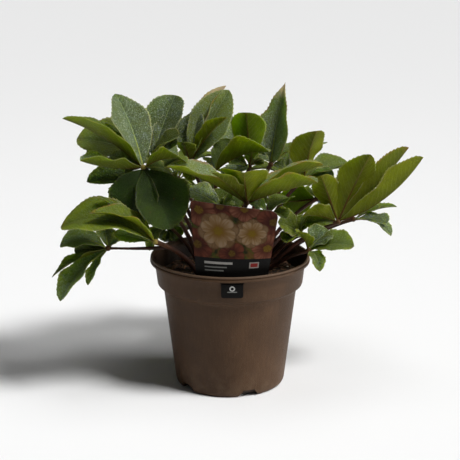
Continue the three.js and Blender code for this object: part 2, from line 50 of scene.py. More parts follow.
LEAVES = {
    "front_left_tall": dict(foot=(-22, -8), palm=(-100, -30, 271), leaflets=[
        ("waxy", 130, 56, 95, 47, 7, -6, 26, 0.54), ("green", -174, 33, 108, 60, 6, 10, 32),
        ("waxy", -156, 11, 77, 50, -4, 5, 40), ("green", -28, 11, 59, 38, 8, -22, 30),
        ("deep", -140, -73, 66, 62, 8, -40, 28, 0.48),
        ("deep", -44, -54, 80, 68, 10, 30, 28, 0.6)],
        small=[("green", 156, 12, 45, 20, 4, -55), ("green", 27, -10, 27, 20, 4, 60),
            ("shaded", 150, -14, 26, 18, 4, -60)]),
    "back_left_tall": dict(foot=(-21, 6), palm=(-93, 25, 268), leaflets=[
        ("waxy", 58, 54, 87, 58, 4, 5, 28, 0.62), ("waxy", 40, 42, 65, 46, 4, 30),
        ("green", -39, 38, 55, 44, 4, 30), ("deep", 156, 32, 76, 44, 6, 0),
        ("green", 177, 15, 93, 62, 8, -35), ("waxy", -170, 4, 80, 56, 8, -15)]),
    "left_middle": dict(foot=(-30, -2), palm=(-94, -5, 243), leaflets=[
        ("waxy", -168, 7, 75, 40, 8, -25), ("green", 1, -13, 55, 30, 6, 30),
        ("green", 12, 40, 48, 28, 6, 10)]),
    "centre_left_tall": dict(foot=(-10, 2), palm=(-47, 5, 268), leaflets=[
        ("pale", 28, 58, 98, 50, 5, 45, 28, 0.55), ("bronze", 47, 54, 105, 46, 8, -20),
        ("waxy", 59, 73, 61, 40, 4, 0), ("olive", -34, 49, 80, 24, 6, -20, 42),
        ("green", -106, 49, 40, 24, 2, 0), ("pale", 45, 30, 89, 36, 4, 0)],
        small=[("shaded", 58, -75, 23, 22, 4, -40)]),
    "centre_low": dict(foot=(-6, -11), palm=(-20, -20, 263), leaflets=[
        ("pale", -22, 23, 76, 52, 8, -28, 40), ("shaded", 55, 36, 53, 30, 6, 5),
        ("green", 85, 4, 50, 30, 4, 0)]),
    "centre_young": dict(foot=(8, 6), palm=(23, 20, 261), leaflets=[
        ("young", -100, 70, 74, 44, 4, 0), ("waxy", -24, 21, 26, 24, 4, 0),
        ("young", -81, 44, 35, 18, 2, 0), ("waxy", -124, -10, 49, 32, 4, 0)],
        small=[("green", 150, 15, 25, 18, 4, -55), ("green", 38, 21, 21, 18, 4, 50)]),
    "centre_spire": dict(foot=(12, 16), palm=(49, 40, 259), leaflets=[
        ("withered", 51, 74, 100, 60, 2, 0, 30, 0.25), ("waxy", 120, 60, 60, 44, 4, 0),
        ("green", 20, 20, 50, 36, 6, 0)],
        small=[("green", 26, -19, 19, 18, 4, 60)]),
    "right_tall": dict(foot=(18, -2), palm=(87, 10, 247), leaflets=[
        ("olive", -62, 66, 70, 48, 3, 0, 28, 0.6), ("green", 22, 8, 66, 52, 5, 8, 35)],
        small=[("young", 18, 8, 39, 20, 4, 60)]),
    "right_broad": dict(foot=(33, -9), palm=(127, -15, 202), leaflets=[
        ("olive", -22, 66, 92, 44, 4, -60, 28, 0.56), ("olive", -9, 40, 126, 46, -12, -34, 50),
        ("blushed", 10, 46, 120, 40, -4, -46, 45), ("olive", -142, 65, 66, 32, 6, 55),
        ("olive", -164, 13, 45, 42, 4, 36)],
        small=[("olive", 169, -3, 40, 20, 4, -60)]),
    "front_centre": dict(foot=(3, -26), palm=(19, -65, 238), leaflets=[
        ("blushed", 9, 25, 97, 52, 4, -10, 42), ("blushed", -21, 20, 89, 56, 2, -16, 42),
        ("olive", -95, 46, 62, 56, 2, 0, 35), ("green", -138, 39, 68, 34, 2, 0),
        ("blushed", 177, 24, 99, 50, 4, 0, 42)],
        small=[("shaded", 28, -26, 19, 16, 4, 60)]),
    "right_inner": dict(foot=(24, 13), palm=(105, 34, 218), leaflets=[
        ("young", 148, -12, 51, 46, -3, 86), ("green", 45, 2, 52, 22, 6, 0)]),
    "right_far": dict(foot=(34, 11), palm=(149, 28, 194), leaflets=[
        ("waxy", -41, 3, 48, 42, 4, 0, 15), ("waxy", -30, -16, 52, 30, 8, 0),
        ("green", 5, 15, 55, 22, 4, 0)]),
    "front_right_low": dict(foot=(26, -24), palm=(91, -50, 177), leaflets=[
        ("green", -16, 10, 54, 40, 6, 25), ("waxy", 21, 36, 34, 40, 4, 20),
        ("green", -73, -21, 40, 18, 8, 0), ("olive", -146, 55, 31, 30, 3, 0)]),
    "right_low": dict(foot=(34, 1), palm=(83, 0, 182), leaflets=[
        ("olive", 28, 60, 25, 26, 4, 0), ("shaded", 29, 33, 25, 32, 4, 0),
        ("olive", -158, 33, 34, 36, 3, -45), ("green", -126, -6, 30, 26, 4, 0)]),
    "left_low_broad": dict(foot=(-30, -18), palm=(-85, -70, 193), stalk=3.2, leaflets=[
        ("olive", 175, 8, 110, 60, 22, -26, 25),
        ("turning", -166, 27, 84, 34, 12, -12, 45, 0.5), ("green", 175, 39, 84, 16, 2, 0)],
        small=[("young", 166, 8, 50, 16, 4, -60)]),
    "left_low_far": dict(branch_of="left_low_broad", palm=(-142, -40, 177), stalk=1.8, leaflets=[
        ("waxy_painted_light", 180, 3, 56, 44, 10, -20, 25), ("pale", 106, 42, 28, 24, 2, 0),
        ("waxy_painted_light", 34, 22, 19, 34, 2, 0), ("green", -167, -25, 73, 28, 5, 0, 28, 0.45),
        ("waxy_painted_light", -147, -40, 83, 42, 6, 0), ("waxy_painted_light", -131, -48, 50, 15, 4, 0)],
        small=[("shaded", 166, -7, 42, 18, 4, -60)]),
    "behind_label_left": dict(foot=(-14, -20), palm=(-8, -42, 224), leaflets=[
        ("waxy_painted_light", 164, 24, 47, 32, 5, -30), ("green", -168, 4, 40, 32, 4, 0),
        ("green", 40, 61, 24, 40, 4, 0)],
        small=[("green", 21, 49, 17, 16, 4, 55), ("shaded", 10, 24, 26, 16, 4, 60)]),
    "behind_label_right": dict(foot=(16, -20), palm=(44, -46, 220), leaflets=[
        ("young", 180, 30, 32, 34, 4, -18), ("green", 54, 14, 44, 34, 4, 0),
        ("green", -50, 0, 30, 28, 4, 0)]),
    "back_left": dict(foot=(-16, 22), palm=(-64, 80, 232), fan=(128, 28, 78)),
    "back_centre": dict(foot=(0, 24), palm=(4, 96, 246), fan=(88, 32, 80)),
    "back_right": dict(foot=(14, 27), palm=(74, 84, 230), fan=(48, 28, 78)),
    "back_left_low": dict(foot=(-30, 14), palm=(-77, 62, 177), fan=(120, -8, 60), small=[
            ("shaded", 180, -53, 20, 24, 4, -60), ("shaded", 0, -50, 22, 24, 4, 60),
            ("shaded", 0, -90, 21, 24, 4, 60)]),
    "back_right_low": dict(foot=(28, 24), palm=(118, 86, 200), fan=(28, 20, 72)),
    "back_skirt_left": dict(foot=(-9, 34), palm=(-30, 124, 198), fan=(104, 18, 70)),
    "back_skirt_right": dict(foot=(9, 35), palm=(50, 130, 184), fan=(66, 18, 70)),
}

# how a leaflet has ripened: (wax bloom, freshness, red in the margin), each from 0 to 1; a few
# entries stand for painted shade and painted light instead, as marked
RIPENESS_AND_PAINTED_LIGHT = {
    "waxy": (0.90, 0.35, 0.10),
    "pale": (0.55, 0.80, 0.20),
    "green": (0.20, 0.50, 0.15),
    "olive": (0.08, 0.85, 0.25),
    "young": (0.10, 1.00, 0.25),
    # painted shade: a darker copy of green, for small leaflets deep inside the plant
    "shaded": (0.08, 0.28, 0.10),
    # painted shade: near black green, for leaflets that hang in the shadow of the leaves above
    "deep": (0.00, 0.00, 0.05),
    # painted light: a lighter copy of waxy, for leaflets that face away from the lamps
    "waxy_painted_light": (0.90, 0.90, 0.10),
    "turning": (0.06, 0.88, 0.70),
    "blushed": (0.75, 0.70, 0.70),
    "withered": (0.85, 0.75, 0.79),
    "bronze": (0.80, 0.70, 0.95),
}
FAN_RIPENESS = ("waxy", "green", "waxy", "green", "green")
PALE_JOINTS = {"front_left_tall", "left_low_broad"}

# ---- pot, compost and label sizes ----

POT_SIDES = 160
FLOOR = 2.2
WALL = 1.7
CHANNELS = 5
FIRST_CHANNEL = -70
CHANNEL_INNER_END = 30
CHANNEL_OUTER_END = 100
CHANNEL_HEIGHT = 9
CHANNEL_FOOT_WIDTH = 27
CHANNEL_ROOF_WIDTH = 14
DRAIN_RADIUS = 2.6
DRAIN_OUT = 56           # from the pot's axis
DRAIN_UP = 8
DRAIN_REACH = 12
DRAIN_SIDES = 20
CUT_BELOW = -1           # cuts start this far under the pot's foot
CHANNEL_ZONE = 40        # the part of the wall that the channels run into

# outlines of the pot, as (distance from the axis, height)
POT_OUTSIDE = [
    (0, 0), (30, 0), (58, 0), (61, 0), (63, 0.7), (64.6, 2.2), (65.5, 4.2), (66.1, 6.6),
    (69.4, 34), (72.8, 62), (76.2, 90), (79.4, 116.6), (79.7, 118.6), (80.6, 120.3),
    (82.4, 121.8), (85.4, 123.7), (86.5, 124.6), (87.0, 126.0), (88.6, 138.6),
    (90.1, 150.4), (90.6, 151.2), (92.6, 151.4), (94.6, 151.4), (95.3, 151.7), (95.5, 152.4),
    (95.4, 153.9), (95.1, 154.4), (94.2, 154.7), (93.9, 155.0), (94.1, 155.3), (94.8, 155.5),
    (95.0, 155.9), (94.9, 157.1), (94.5, 157.7), (93.8, 158.0),
]
POT_INSIDE = [
    (92.8, 158.0), (92.2, 157.7), (91.6, 156.3), (91.2, 155.2), (88.9, 151.8), (88.5, 150.8),
    (85.4, 127.4), (84.9, 126.3), (83.6, 125.0), (78.7, 121.0), (78.0, 120.0), (77.7, 118.4),
    (71.1, 62), (64.4, 8.0), (63.8, 5.0), (62.2, 3.1), (60.0, 2.2), (30, 2.2), (0, 2.2),
]

COMPOST_SIDES = 240
COMPOST_UNDER = [(0, FLOOR + 0.3), (59, FLOOR + 0.3), (63.8, 7.4), (77.3, 118.8), (84.9, 127)]
COMPOST_RINGS = [(85.6, 133), (79, 135.4), (72, 137), (60, 137.8), (48, 138), (34, 137.3),
                 (22, 137), (10, 137), (0, 137)]
COMPOST_STEP = 1.4
CLOD_HEIGHT = 9
CLODS_ABOVE = 131
CROWN_TOP = 127.4
SHARP_EDGE = 38          # a steeper corner than this stays sharp
SHARP_CARD_EDGE = 50

CARD_HEM = 158
CARD_BOTTOM = 134
CARD_CORNERS = dict(lower_left=(-39, -76, 158), lower_right=(44, -73, 158),
                    upper_left=(-45, -84, 246), upper_right=(54, -108, 239))
CARD_TALL = 88.0
CARD_BROAD = 94.0
CARD_BULGE_LOW = 9.5
CARD_BULGE_HIGH = 4
CARD_THICKNESS = 0.7
CARD_COLUMNS = 49
CARD_TOP_STEPS = [0, 0.35, 0.9, 1.7, 2.8, 4.2, 6, 8, 10.5]     # down from the top edge
CARD_EVEN_FROM = 14      # and from here in even steps
CARD_ROWS = 24
HEM_ROWS = 8
CORNER_LEFT = 5.0        # radius of the card's upper left corner
CORNER_RIGHT = 10.0
TONGUE_LEFT = -10
TONGUE_RIGHT = 15
TONGUE_TOP = 150
TONGUE_BOTTOM = 132
TONGUE_CORNER = 2.4
TONGUE_BEND = [(-84, 0.0), (-88, 0.0), (-90.6, -0.1), (-91.3, -0.6), (-91.6, -1.5)]
TONGUE_LEAN = 2.2        # how much nearer the pot its lower end is
TONGUE_STEPS = (0.3, 0.6, 0.8, 0.9, 0.96, 1.0)
TONGUE_COLUMNS = 21
SLOT_PLAY = 1            # the slot in the collar is this much wider than the tongue
SLOT_OUTER = -100
SLOT_INNER = -80
SLOT_BELOW = 1.4
SLOT_ABOVE = 0.6


# ---- node wiring ----

class Value:
    """What a node gives out. Sums with it are written as with numbers; each adds a node."""

    def __init__(self, wiring, outlet):
        self.wiring, self.outlet = wiring, outlet

    def __lt__(self, other):
        return self.wiring.math("LESS_THAN", self, other)

    def __gt__(self, other):
        return self.wiring.math("GREATER_THAN", self, other)

    def __abs__(self):
        return self.wiring.math("ABSOLUTE", self)


# sums of two terms, whichever of them is the number
for word, kind in {"add": "ADD", "sub": "SUBTRACT", "mul": "MULTIPLY",
                   "truediv": "DIVIDE"}.items():
    setattr(Value, f"__{word}__", lambda a, b, kind=kind: a.wiring.math(kind, a, b))
    setattr(Value, f"__r{word}__", lambda b, a, kind=kind: b.wiring.math(kind, a, b))


def shown(sockets, key):
    """The shown socket of that name or number."""
    if isinstance(key, int):
        return sockets[key]
    return next(s for s in sockets if s.name == key and s.enabled)


class Wiring:
    """Puts nodes into one tree. Each call hands back the new node's value."""

    def __init__(self, tree, material=None):
        self.tree, self.material = tree, material

    def put(self, kind, feeds=None, out=None, **settings):
        node = self.tree.nodes.new(kind)
        for key, value in settings.items():
            setattr(node, key, value)
        for key, value in (feeds or {}).items():
            self.feed(shown(node.inputs, key), value)
        if out is None:
            return Value(self, next(s for s in node.outputs if s.enabled))
        return Value(self, shown(node.outputs, out))

    def geo(self, kind, feeds=None, out=None, **settings):
        return self.put("GeometryNode" + kind, feeds, out, **settings)

    def feed(self, inlet, value):
        """Links a value to an inlet, or sets it there; a colour is named from TONES."""
        if isinstance(value, Value):
            self.tree.links.new(value.outlet, inlet)
        elif inlet.type == "RGBA":
            inlet.default_value = (*TONES[value], 1.0)
        else:
            inlet.default_value = value

    def math(self, operation, *terms):
        return self.put("ShaderNodeMath", dict(enumerate(terms)), operation=operation)

    def length(self, x, y):
        return self.math("SQRT", x * x + y * y)

    def span(self, value, low, high, to_low=0.0, to_high=1.0, form="SMOOTHSTEP"):
        """Eases from one value to another while its source runs from low to high."""
        return self.put("ShaderNodeMapRange", {
            "Value": value, "From Min": low, "From Max": high, "To Min": to_low,
            "To Max": to_high}, interpolation_type=form)

    def ramp(self, value, to_low, to_high, high=1.0):
        """The same in a straight line, from a source of 0."""
        return self.span(value, 0.0, high, to_low, to_high, "LINEAR")

    def blend(self, share, a, b):
        return self.put("ShaderNodeMix", {"Factor": share, "A": a, "B": b}, data_type="RGBA")

    def coats(self, colour, *layers):
        """Lays tones over a colour one after another, each by its own share."""
        for share, tone in layers:
            colour = self.blend(share, colour, tone)
        return colour

    def noise(self, place, scale, detail=3.0, roughness=0.55, distortion=0.0, out=0):
        return self.put("ShaderNodeTexNoise", {
            "Vector": place, "Scale": scale, "Detail": detail, "Roughness": roughness,
            "Distortion": distortion}, out=out)

    def cells(self, place, scale, feature="F1"):
        return self.put("ShaderNodeTexVoronoi", {"Vector": place, "Scale": scale},
                        feature=feature)

    def random(self, low, high, seed):
        form = "FLOAT_VECTOR" if isinstance(low, tuple) else "FLOAT"
        return self.put("FunctionNodeRandomValue", {"Min": low, "Max": high, "Seed": seed},
                        data_type=form)

    def carried(self, *names):
        """The numbers of those names that the mesh carries."""
        if self.tree.bl_idname == "GeometryNodeTree":
            return [self.geo("InputNamedAttribute", {"Name": n}, data_type="FLOAT")
                    for n in names]
        return [self.put("ShaderNodeAttribute", out="Fac", attribute_name=n) for n in names]

    def parts(self, vector):
        node = self.tree.nodes.new("ShaderNodeSeparateXYZ")
        self.feed(node.inputs[0], vector)
        return [Value(self, outlet) for outlet in node.outputs]

    def vector(self, *parts):
        return self.put("ShaderNodeCombineXYZ", dict(enumerate(parts)))

    def scaled(self, vector, factor):
        return self.put("ShaderNodeVectorMath", {0: vector, "Scale": factor},
                        operation="SCALE")

    def use(self, group, feeds):
        """Places a shader group in the tree and hands back its values."""
        node = self.tree.nodes.new("ShaderNodeGroup")
        node.node_tree = group
        for key, value in feeds.items():
            self.feed(node.inputs[key], value)
        return self.named(node.outputs)

    def named(self, outlets):
        """The values of a node's outlets, by their names in small letters."""
        return SimpleNamespace(**{s.name.lower().replace(" ", "_"): Value(self, s)
                                  for s in outlets if s.name})

    def close(self, **results):
        """Sends the results out of the tree, and hands the tree back."""
        leave = self.tree.nodes.new("NodeGroupOutput")
        for label, value in results.items():
            self.feed(leave.inputs[label.replace("_", " ")], value)
        return self.tree

    def close_shape(self, shape, finish):
        """Ends a geometry tree with real meshes that have their finish."""
        real = self.geo("RealizeInstances", {"Geometry": shape})
        return self.close(Shape=self.geo("SetMaterial", {"Geometry": real,
                                                         "Material": finish}))


SOCKETS = {"float": "NodeSocketFloat", "int": "NodeSocketInt", "vector": "NodeSocketVector",
           "shape": "NodeSocketGeometry", "material": "NodeSocketMaterial"}


def open_tree(name, kind, inlets, outlets):
    """A tree's wiring and its inlets. An inlet has a number to start from, or its kind."""
    tree = bpy.data.node_groups.new(name, kind)
    for label, start in inlets.items():
        form = start if isinstance(start, str) else type(start).__name__
        inlet = tree.interface.new_socket(name=label, in_out="INPUT",
                                          socket_type=SOCKETS[form])
        if form != start:
            inlet.default_value = start
    for label, form in outlets.items():
        tree.interface.new_socket(name=label, in_out="OUTPUT", socket_type=SOCKETS[form])
    w = Wiring(tree)
    return w, w.named(tree.nodes.new("NodeGroupInput").outputs)


def open_shader_group(name, inlets, outlets):
    return open_tree(name, "ShaderNodeTree", inlets, dict.fromkeys(outlets, "float"))


def open_shaping(name, inlets):
    return open_tree(name, "GeometryNodeTree", inlets, {"Shape": "shape"})


def bake(obj, modifier):
    """Leaves what a modifier makes of an object as its plain mesh."""
    graph = bpy.context.evaluated_depsgraph_get()
    graph.update()
    baked = bpy.data.meshes.new_from_object(
        obj.evaluated_get(graph), preserve_all_data_layers=True, depsgraph=graph)
    obj.modifiers.remove(modifier)
    rough, obj.data = obj.data, baked
    bpy.data.meshes.remove(rough)
    return obj


def shape_with(obj, tree, **settings):
    """Runs a geometry tree on an object."""
    modifier = obj.modifiers.new(tree.name, "NODES")
    modifier.node_group = tree
    named = {item.name: item.identifier for item in tree.interface.items_tree
             if item.item_type == "SOCKET" and item.in_out == "INPUT"}
    for label, value in settings.items():
        modifier[named[label.replace("_", " ")]] = value
    bake(obj, modifier).data.name = obj.name
    return obj


# ---- shader groups that several finishes share ----

VEINS = {"Spacing": 0.0075, "Slant": 0.9, "Curve": 14.0}


def vein_phase(given, along, across, seed, wobble=None):
    """Counts side veins along a leaflet, the two halves in turn: (off the midrib, count)."""
    away = abs(across)
    rise = along - away * given.slant - away * away * given.curve
    if wobble is not None:
        rise = rise + wobble
    return away, rise / given.spacing + (across < 0.0) * 0.5 + seed


def make_mottle():
    """Soft patches, a fine grain and single dots, each from 0 to 1, and their height."""
    w, given = open_shader_group(
        "mottle", {"Place": "vector", "Patch Size": 0.02, "Grain Size": 0.001},
        ["Patches", "Grain", "Dots", "Height"])
    place = given.place
    patches = w.noise(place, 1.0 / given.patch_size, 3.0, 0.6)
    grain = w.noise(place, 1.0 / given.grain_size, 2.0, 0.6)
    dots = w.span(w.cells(place, 0.55 / given.grain_size), 0.14, 0.42, 1.0, 0.0)
    return w.close(Patches=w.span(patches, 0.34, 0.66), Grain=w.span(grain, 0.3, 0.7),
                   Dots=dots * w.span(patches, 0.30, 0.52, 0.3, 1.0),
                   Height=patches * 0.5 + grain * 0.5)


def make_vein_pattern():
    """Midrib, side veins and the fine net between them, on a leaflet's own measures."""
    w, given = open_shader_group("vein_pattern", {
        "Along": 0.0, "Across": 0.0, "Reach": 0.0, "Seed": 0.0, **VEINS,
        "Midrib Width": 0.0014, "Vein Width": 0.00055, "Net Size": 0.0024},
        ["Midrib", "Side Veins", "Net", "Height"])
    measure = w.vector(given.along, given.across, given.seed)
    wobble = (w.noise(measure, 90.0, 1.0) - 0.5) * 0.006
    away, phase = vein_phase(given, given.along, given.across, given.seed, wobble)
    width = given.midrib_width * w.ramp(given.reach, 1.0, 0.3)
    midrib = 1.0 - w.span(away, width * 0.35, width)
    off = abs(w.math("FRACT", phase) - 0.5) * given.spacing
    side = 1.0 - w.span(off, given.vein_width * 0.3, given.vein_width)
    side = side * w.ramp(away, 1.0, 0.35, 0.03)
    seams = w.cells(measure, 1.0 / given.net_size, "DISTANCE_TO_EDGE")
    net = 1.0 - w.span(seams, 0.02, 0.14)
    return w.close(Midrib=midrib, Side_Veins=side, Net=net,
                   Height=midrib + side * 0.6 + net * 0.22)


def make_margin():
    """The thin edge of a blade, where edge and tip have coloured or dried, and brown spots."""
    w, given = open_shader_group(
        "margin_tint", {"Place": "vector", "Edge": 0.0, "Reach": 0.0, "Blush": 0.0},
        ["Rim", "Blush", "Dry", "Spots"])
    edge, reach, blush = given.edge, given.reach, given.blush
    patchy = w.noise(given.place, 55.0, 2.0, 0.6)
    inward = w.span(edge + patchy * 0.22, 0.96, 1.16)
    tip = w.span(reach + patchy * 0.16, 0.98, 1.12)
    tinted = w.math("MAXIMUM", inward, tip) * (w.span(patchy, 0.38, 0.62) * 0.8 + 0.2)
    dry = w.span(reach + patchy * 0.3, 0.93, 1.05) * w.span(blush, 0.72, 0.78)
    spots = w.span(w.cells(given.place, 46.0), 0.035, 0.06, 1.0, 0.0)
    return w.close(Rim=w.span(edge, 0.93, 0.99), Blush=tinted * blush, Dry=dry,
                   Spots=spots * w.span(patchy, 0.42, 0.5))


MOTTLE = make_mottle()
VEIN_PATTERN = make_vein_pattern()
MARGIN_TINT = make_margin()


# ---- finishes ----

# every tone, as linear red, green and blue
TONES = {
    "upper deep": (0.011, 0.023, 0.0005), "upper ripe": (0.122, 0.150, 0.002),
    "upper young": (0.110, 0.190, 0.003), "upper patch": (0.020, 0.042, 0.002),
    "upper broad patch": (0.027, 0.046, 0.001), "upper pale rim and highlight": (0.34, 0.36, 0.20),
    "upper blush": (0.26, 0.075, 0.022), "upper dry tip": (0.50, 0.38, 0.27),
    "upper dried": (0.44, 0.31, 0.18), "brown spot": (0.060, 0.026, 0.006),
    "wax dull": (0.052, 0.071, 0.065), "wax pale": (0.26, 0.31, 0.20),
    "wax speck": (0.31, 0.36, 0.28), "midrib groove shade": (0.030, 0.055, 0.012),
    "vein net": (0.24, 0.31, 0.15), "vein pale": (0.24, 0.31, 0.12),
    "midrib yellow": (0.36, 0.40, 0.05),
    "under deep": (0.020, 0.032, 0.001), "under ripe": (0.160, 0.182, 0.001),
    "under young": (0.160, 0.250, 0.003), "under patch": (0.060, 0.072, 0.002),
    "under fold shade": (0.030, 0.034, 0.002), "under wax": (0.12, 0.14, 0.04),
    "under grain": (0.21, 0.23, 0.03), "under speck": (0.30, 0.32, 0.06),
    "under net": (0.035, 0.05, 0.004), "under vein": (0.22, 0.23, 0.05),
    "under midrib": (0.17, 0.13, 0.04), "under midrib red": (0.075, 0.013, 0.007),
    "under pale rim and highlight": (0.30, 0.31, 0.14), "under blush": (0.24, 0.075, 0.015),
    "under dry tip": (0.46, 0.34, 0.23),
    "joint green": (0.15, 0.155, 0.020), "joint tan": (0.19, 0.125, 0.030),
    "joint wine": (0.030, 0.007, 0.003), "joint red": (0.060, 0.016, 0.006),
    "joint grain": (0.20, 0.15, 0.06),
    "stalk dark": (0.018, 0.0045, 0.002), "stalk red": (0.048, 0.011, 0.004),
    "stalk green": (0.070, 0.045, 0.008), "stalk streak": (0.016, 0.005, 0.003),
    "stalk foot": (0.009, 0.003, 0.0015), "stalk grain": (0.20, 0.11, 0.06),
    "pot dark": (0.053, 0.027, 0.012), "pot brown": (0.068, 0.035, 0.016),
    "pot streak": (0.034, 0.017, 0.008), "pot fleck": (0.15, 0.105, 0.075),
    "pot dust": (0.14, 0.090, 0.055), "pot lip highlight": (0.19, 0.135, 0.095),
    "pot inner shade": (0.010, 0.005, 0.002),
    "peat dark": (0.007, 0.004, 0.002), "peat brown": (0.022, 0.011, 0.005),
    "peat grain": (0.036, 0.017, 0.007), "peat crumb": (0.11, 0.052, 0.022),
    "bark dark": (0.028, 0.014, 0.008), "bark red": (0.17, 0.070, 0.024),
    "bark patch": (0.060, 0.027, 0.012), "bark grain": (0.20, 0.11, 0.05),
    "grit tan": (0.42, 0.36, 0.26), "grit pale": (0.62, 0.57, 0.46),
    "grit dirt": (0.25, 0.18, 0.11),
    # the card's print and back tones, from here on, are kept darker all over than real print:
    # painted shade from the leaves that hang over the card
    "print earth": (0.008, 0.010, 0.001), "print leaf": (0.070, 0.034, 0.006),
    "print foliage": (0.034, 0.042, 0.003), "print black": (0.002, 0.002, 0.002),
    "rose petal": (0.130, 0.046, 0.024), "rose throat": (0.036, 0.006, 0.002),
    "rose eye": (0.100, 0.060, 0.002),
    "wine petal": (0.090, 0.022, 0.010), "wine throat": (0.022, 0.003, 0.001),
    "wine eye": (0.070, 0.040, 0.002),
    "cream petal": (0.205, 0.138, 0.078), "cream throat": (0.105, 0.050, 0.005),
    "cream eye": (0.120, 0.078, 0.002),
    "shade petal": (0.125, 0.075, 0.035), "shade throat": (0.060, 0.024, 0.003),
    "shade eye": (0.100, 0.060, 0.002), "petal edge": (0.030, 0.010, 0.003),
    "bar pale": (0.27, 0.26, 0.24), "bar grey": (0.13, 0.13, 0.12),
    "block frame": (0.20, 0.18, 0.16), "block red": (0.15, 0.014, 0.012),
    "tongue line": (0.18, 0.18, 0.17), "ring pale": (0.45, 0.45, 0.43),
    "card back": (0.30, 0.29, 0.27), "card grain": (0.30, 0.26, 0.22),
    "floor pale": (0.82, 0.82, 0.82),
}

# how light passes through a blade: mostly green, a little red, hardly any blue
LEAF_GLOW = dict(Subsurface_Weight=0.6, Subsurface_Radius=(0.8, 1.0, 0.03),
                 Subsurface_Scale=0.0015)


def open_finish(name, patch, grain):
    """A material's wiring, where a point lies on the object, and the mottle there."""
    material = bpy.data.materials.new(name)
    material.use_nodes = True
    w = Wiring(material.node_tree, material)
    place = w.put("ShaderNodeTexCoord", out="Object")
    mottle = w.use(MOTTLE, {"Place": place, "Patch Size": patch, "Grain Size": grain})
    return w, place, mottle


def close_finish(w, colour, roughness, height, depth, **plain):
    """Feeds the shader: colour, roughness and relief vary, the plain values are set once."""
    inlets = w.tree.nodes["Principled BSDF"].inputs
    w.feed(inlets["Base Color"], colour)
    w.feed(inlets["Roughness"], roughness)
    w.feed(inlets["Normal"], w.put("ShaderNodeBump", {
        "Height": height, "Distance": depth, "Strength": 1.0}))
    for label, value in plain.items():
        inlets[label.replace("_", " ")].default_value = value
    return w.material


def open_blade_finish(name, patch, grain, midrib_width):
    """The same for a leaf's face, with what its points carry, its veins and its margin."""
    w, place, mottle = open_finish(name, patch, grain)
    names = ("edge", "reach", "along", "across", "bloom", "fresh", "blush", "seed")
    leaf = SimpleNamespace(**dict(zip(names, w.carried(*names))))
    veins = w.use(VEIN_PATTERN, {"Along": leaf.along, "Across": leaf.across,
                                 "Reach": leaf.reach, "Seed": leaf.seed,
                                 "Midrib Width": midrib_width})
    margin = w.use(MARGIN_TINT, {"Place": place, "Edge": leaf.edge, "Reach": leaf.reach,
                                 "Blush": leaf.blush})
    return w, place, mottle, leaf, veins, margin


def blade_green(w, fresh, face):
    """A face's green, from deep through ripe to young."""
    green = w.blend(w.span(fresh, 0.0, 0.85), f"{face} deep", f"{face} ripe")
    return w.blend(w.span(fresh, 0.85, 1.0), green, f"{face} young")


def make_leaf_upper():
    w, place, mottle, leaf, veins, margin = open_blade_finish(
        "leaf_upper", 0.014, 0.0014, 0.0014)
    patches, grain, dots = mottle.patches, mottle.grain, mottle.dots
    broad = w.span(w.noise(place, 34.0, 2.0, 0.5), 0.46, 0.66)
    cover = leaf.bloom * (patches * 0.5 + 0.5) * w.ramp(grain, 0.15, 1.0)
    veined = leaf.bloom * 0.6 + leaf.fresh * 0.35 + 0.04
    # painted shade in the groove along both sides of the sunken midrib
    groove_shade = w.span(abs(leaf.across), 0.0012, 0.0075, 1.0, 0.0) * (1.0 - veins.midrib)
    midrib = w.blend(w.span(leaf.reach, 0.05, 0.6, 1.0, 0.0), "vein pale", "midrib yellow")
    dried = w.span(leaf.blush, 0.8, 0.95) * (patches * 0.5 + 0.5)
    colour = w.coats(
        blade_green(w, leaf.fresh, "upper"),
        (patches * 0.4 * (leaf.fresh + 0.1), "upper patch"),
        (broad * w.span(leaf.fresh, 0.0, 0.3, 0.45, 0.0), "upper broad patch"),
        (cover, w.blend(leaf.fresh, "wax dull", "wax pale")),
        (dots * (leaf.bloom * 0.62 + leaf.fresh * 0.08), "wax speck"),
        (groove_shade * 0.35, "midrib groove shade"),
        (veins.net * veined * 0.30, "vein net"),
        (veins.side_veins * veined * 0.5, "vein pale"),
        (veins.midrib * veined * 0.9, midrib),
        (dried * 0.8, "upper dried"),
        # a pale margin, partly the blade's own paler edge and partly a painted highlight along
        # it
        (margin.rim * (leaf.bloom * 0.4 + leaf.fresh * 0.3 + 0.15), "upper pale rim and highlight"),
        (margin.blush * 0.85, "upper blush"),
        (margin.dry * 0.85, "upper dry tip"),
        (margin.spots * 0.7, "brown spot"))
    return close_finish(w, colour, w.ramp(grain, 0.40, 0.58),
                        grain * 0.35 + dots * 0.3 - veins.height, 0.0011,
                        Specular_IOR_Level=0.15, **LEAF_GLOW)


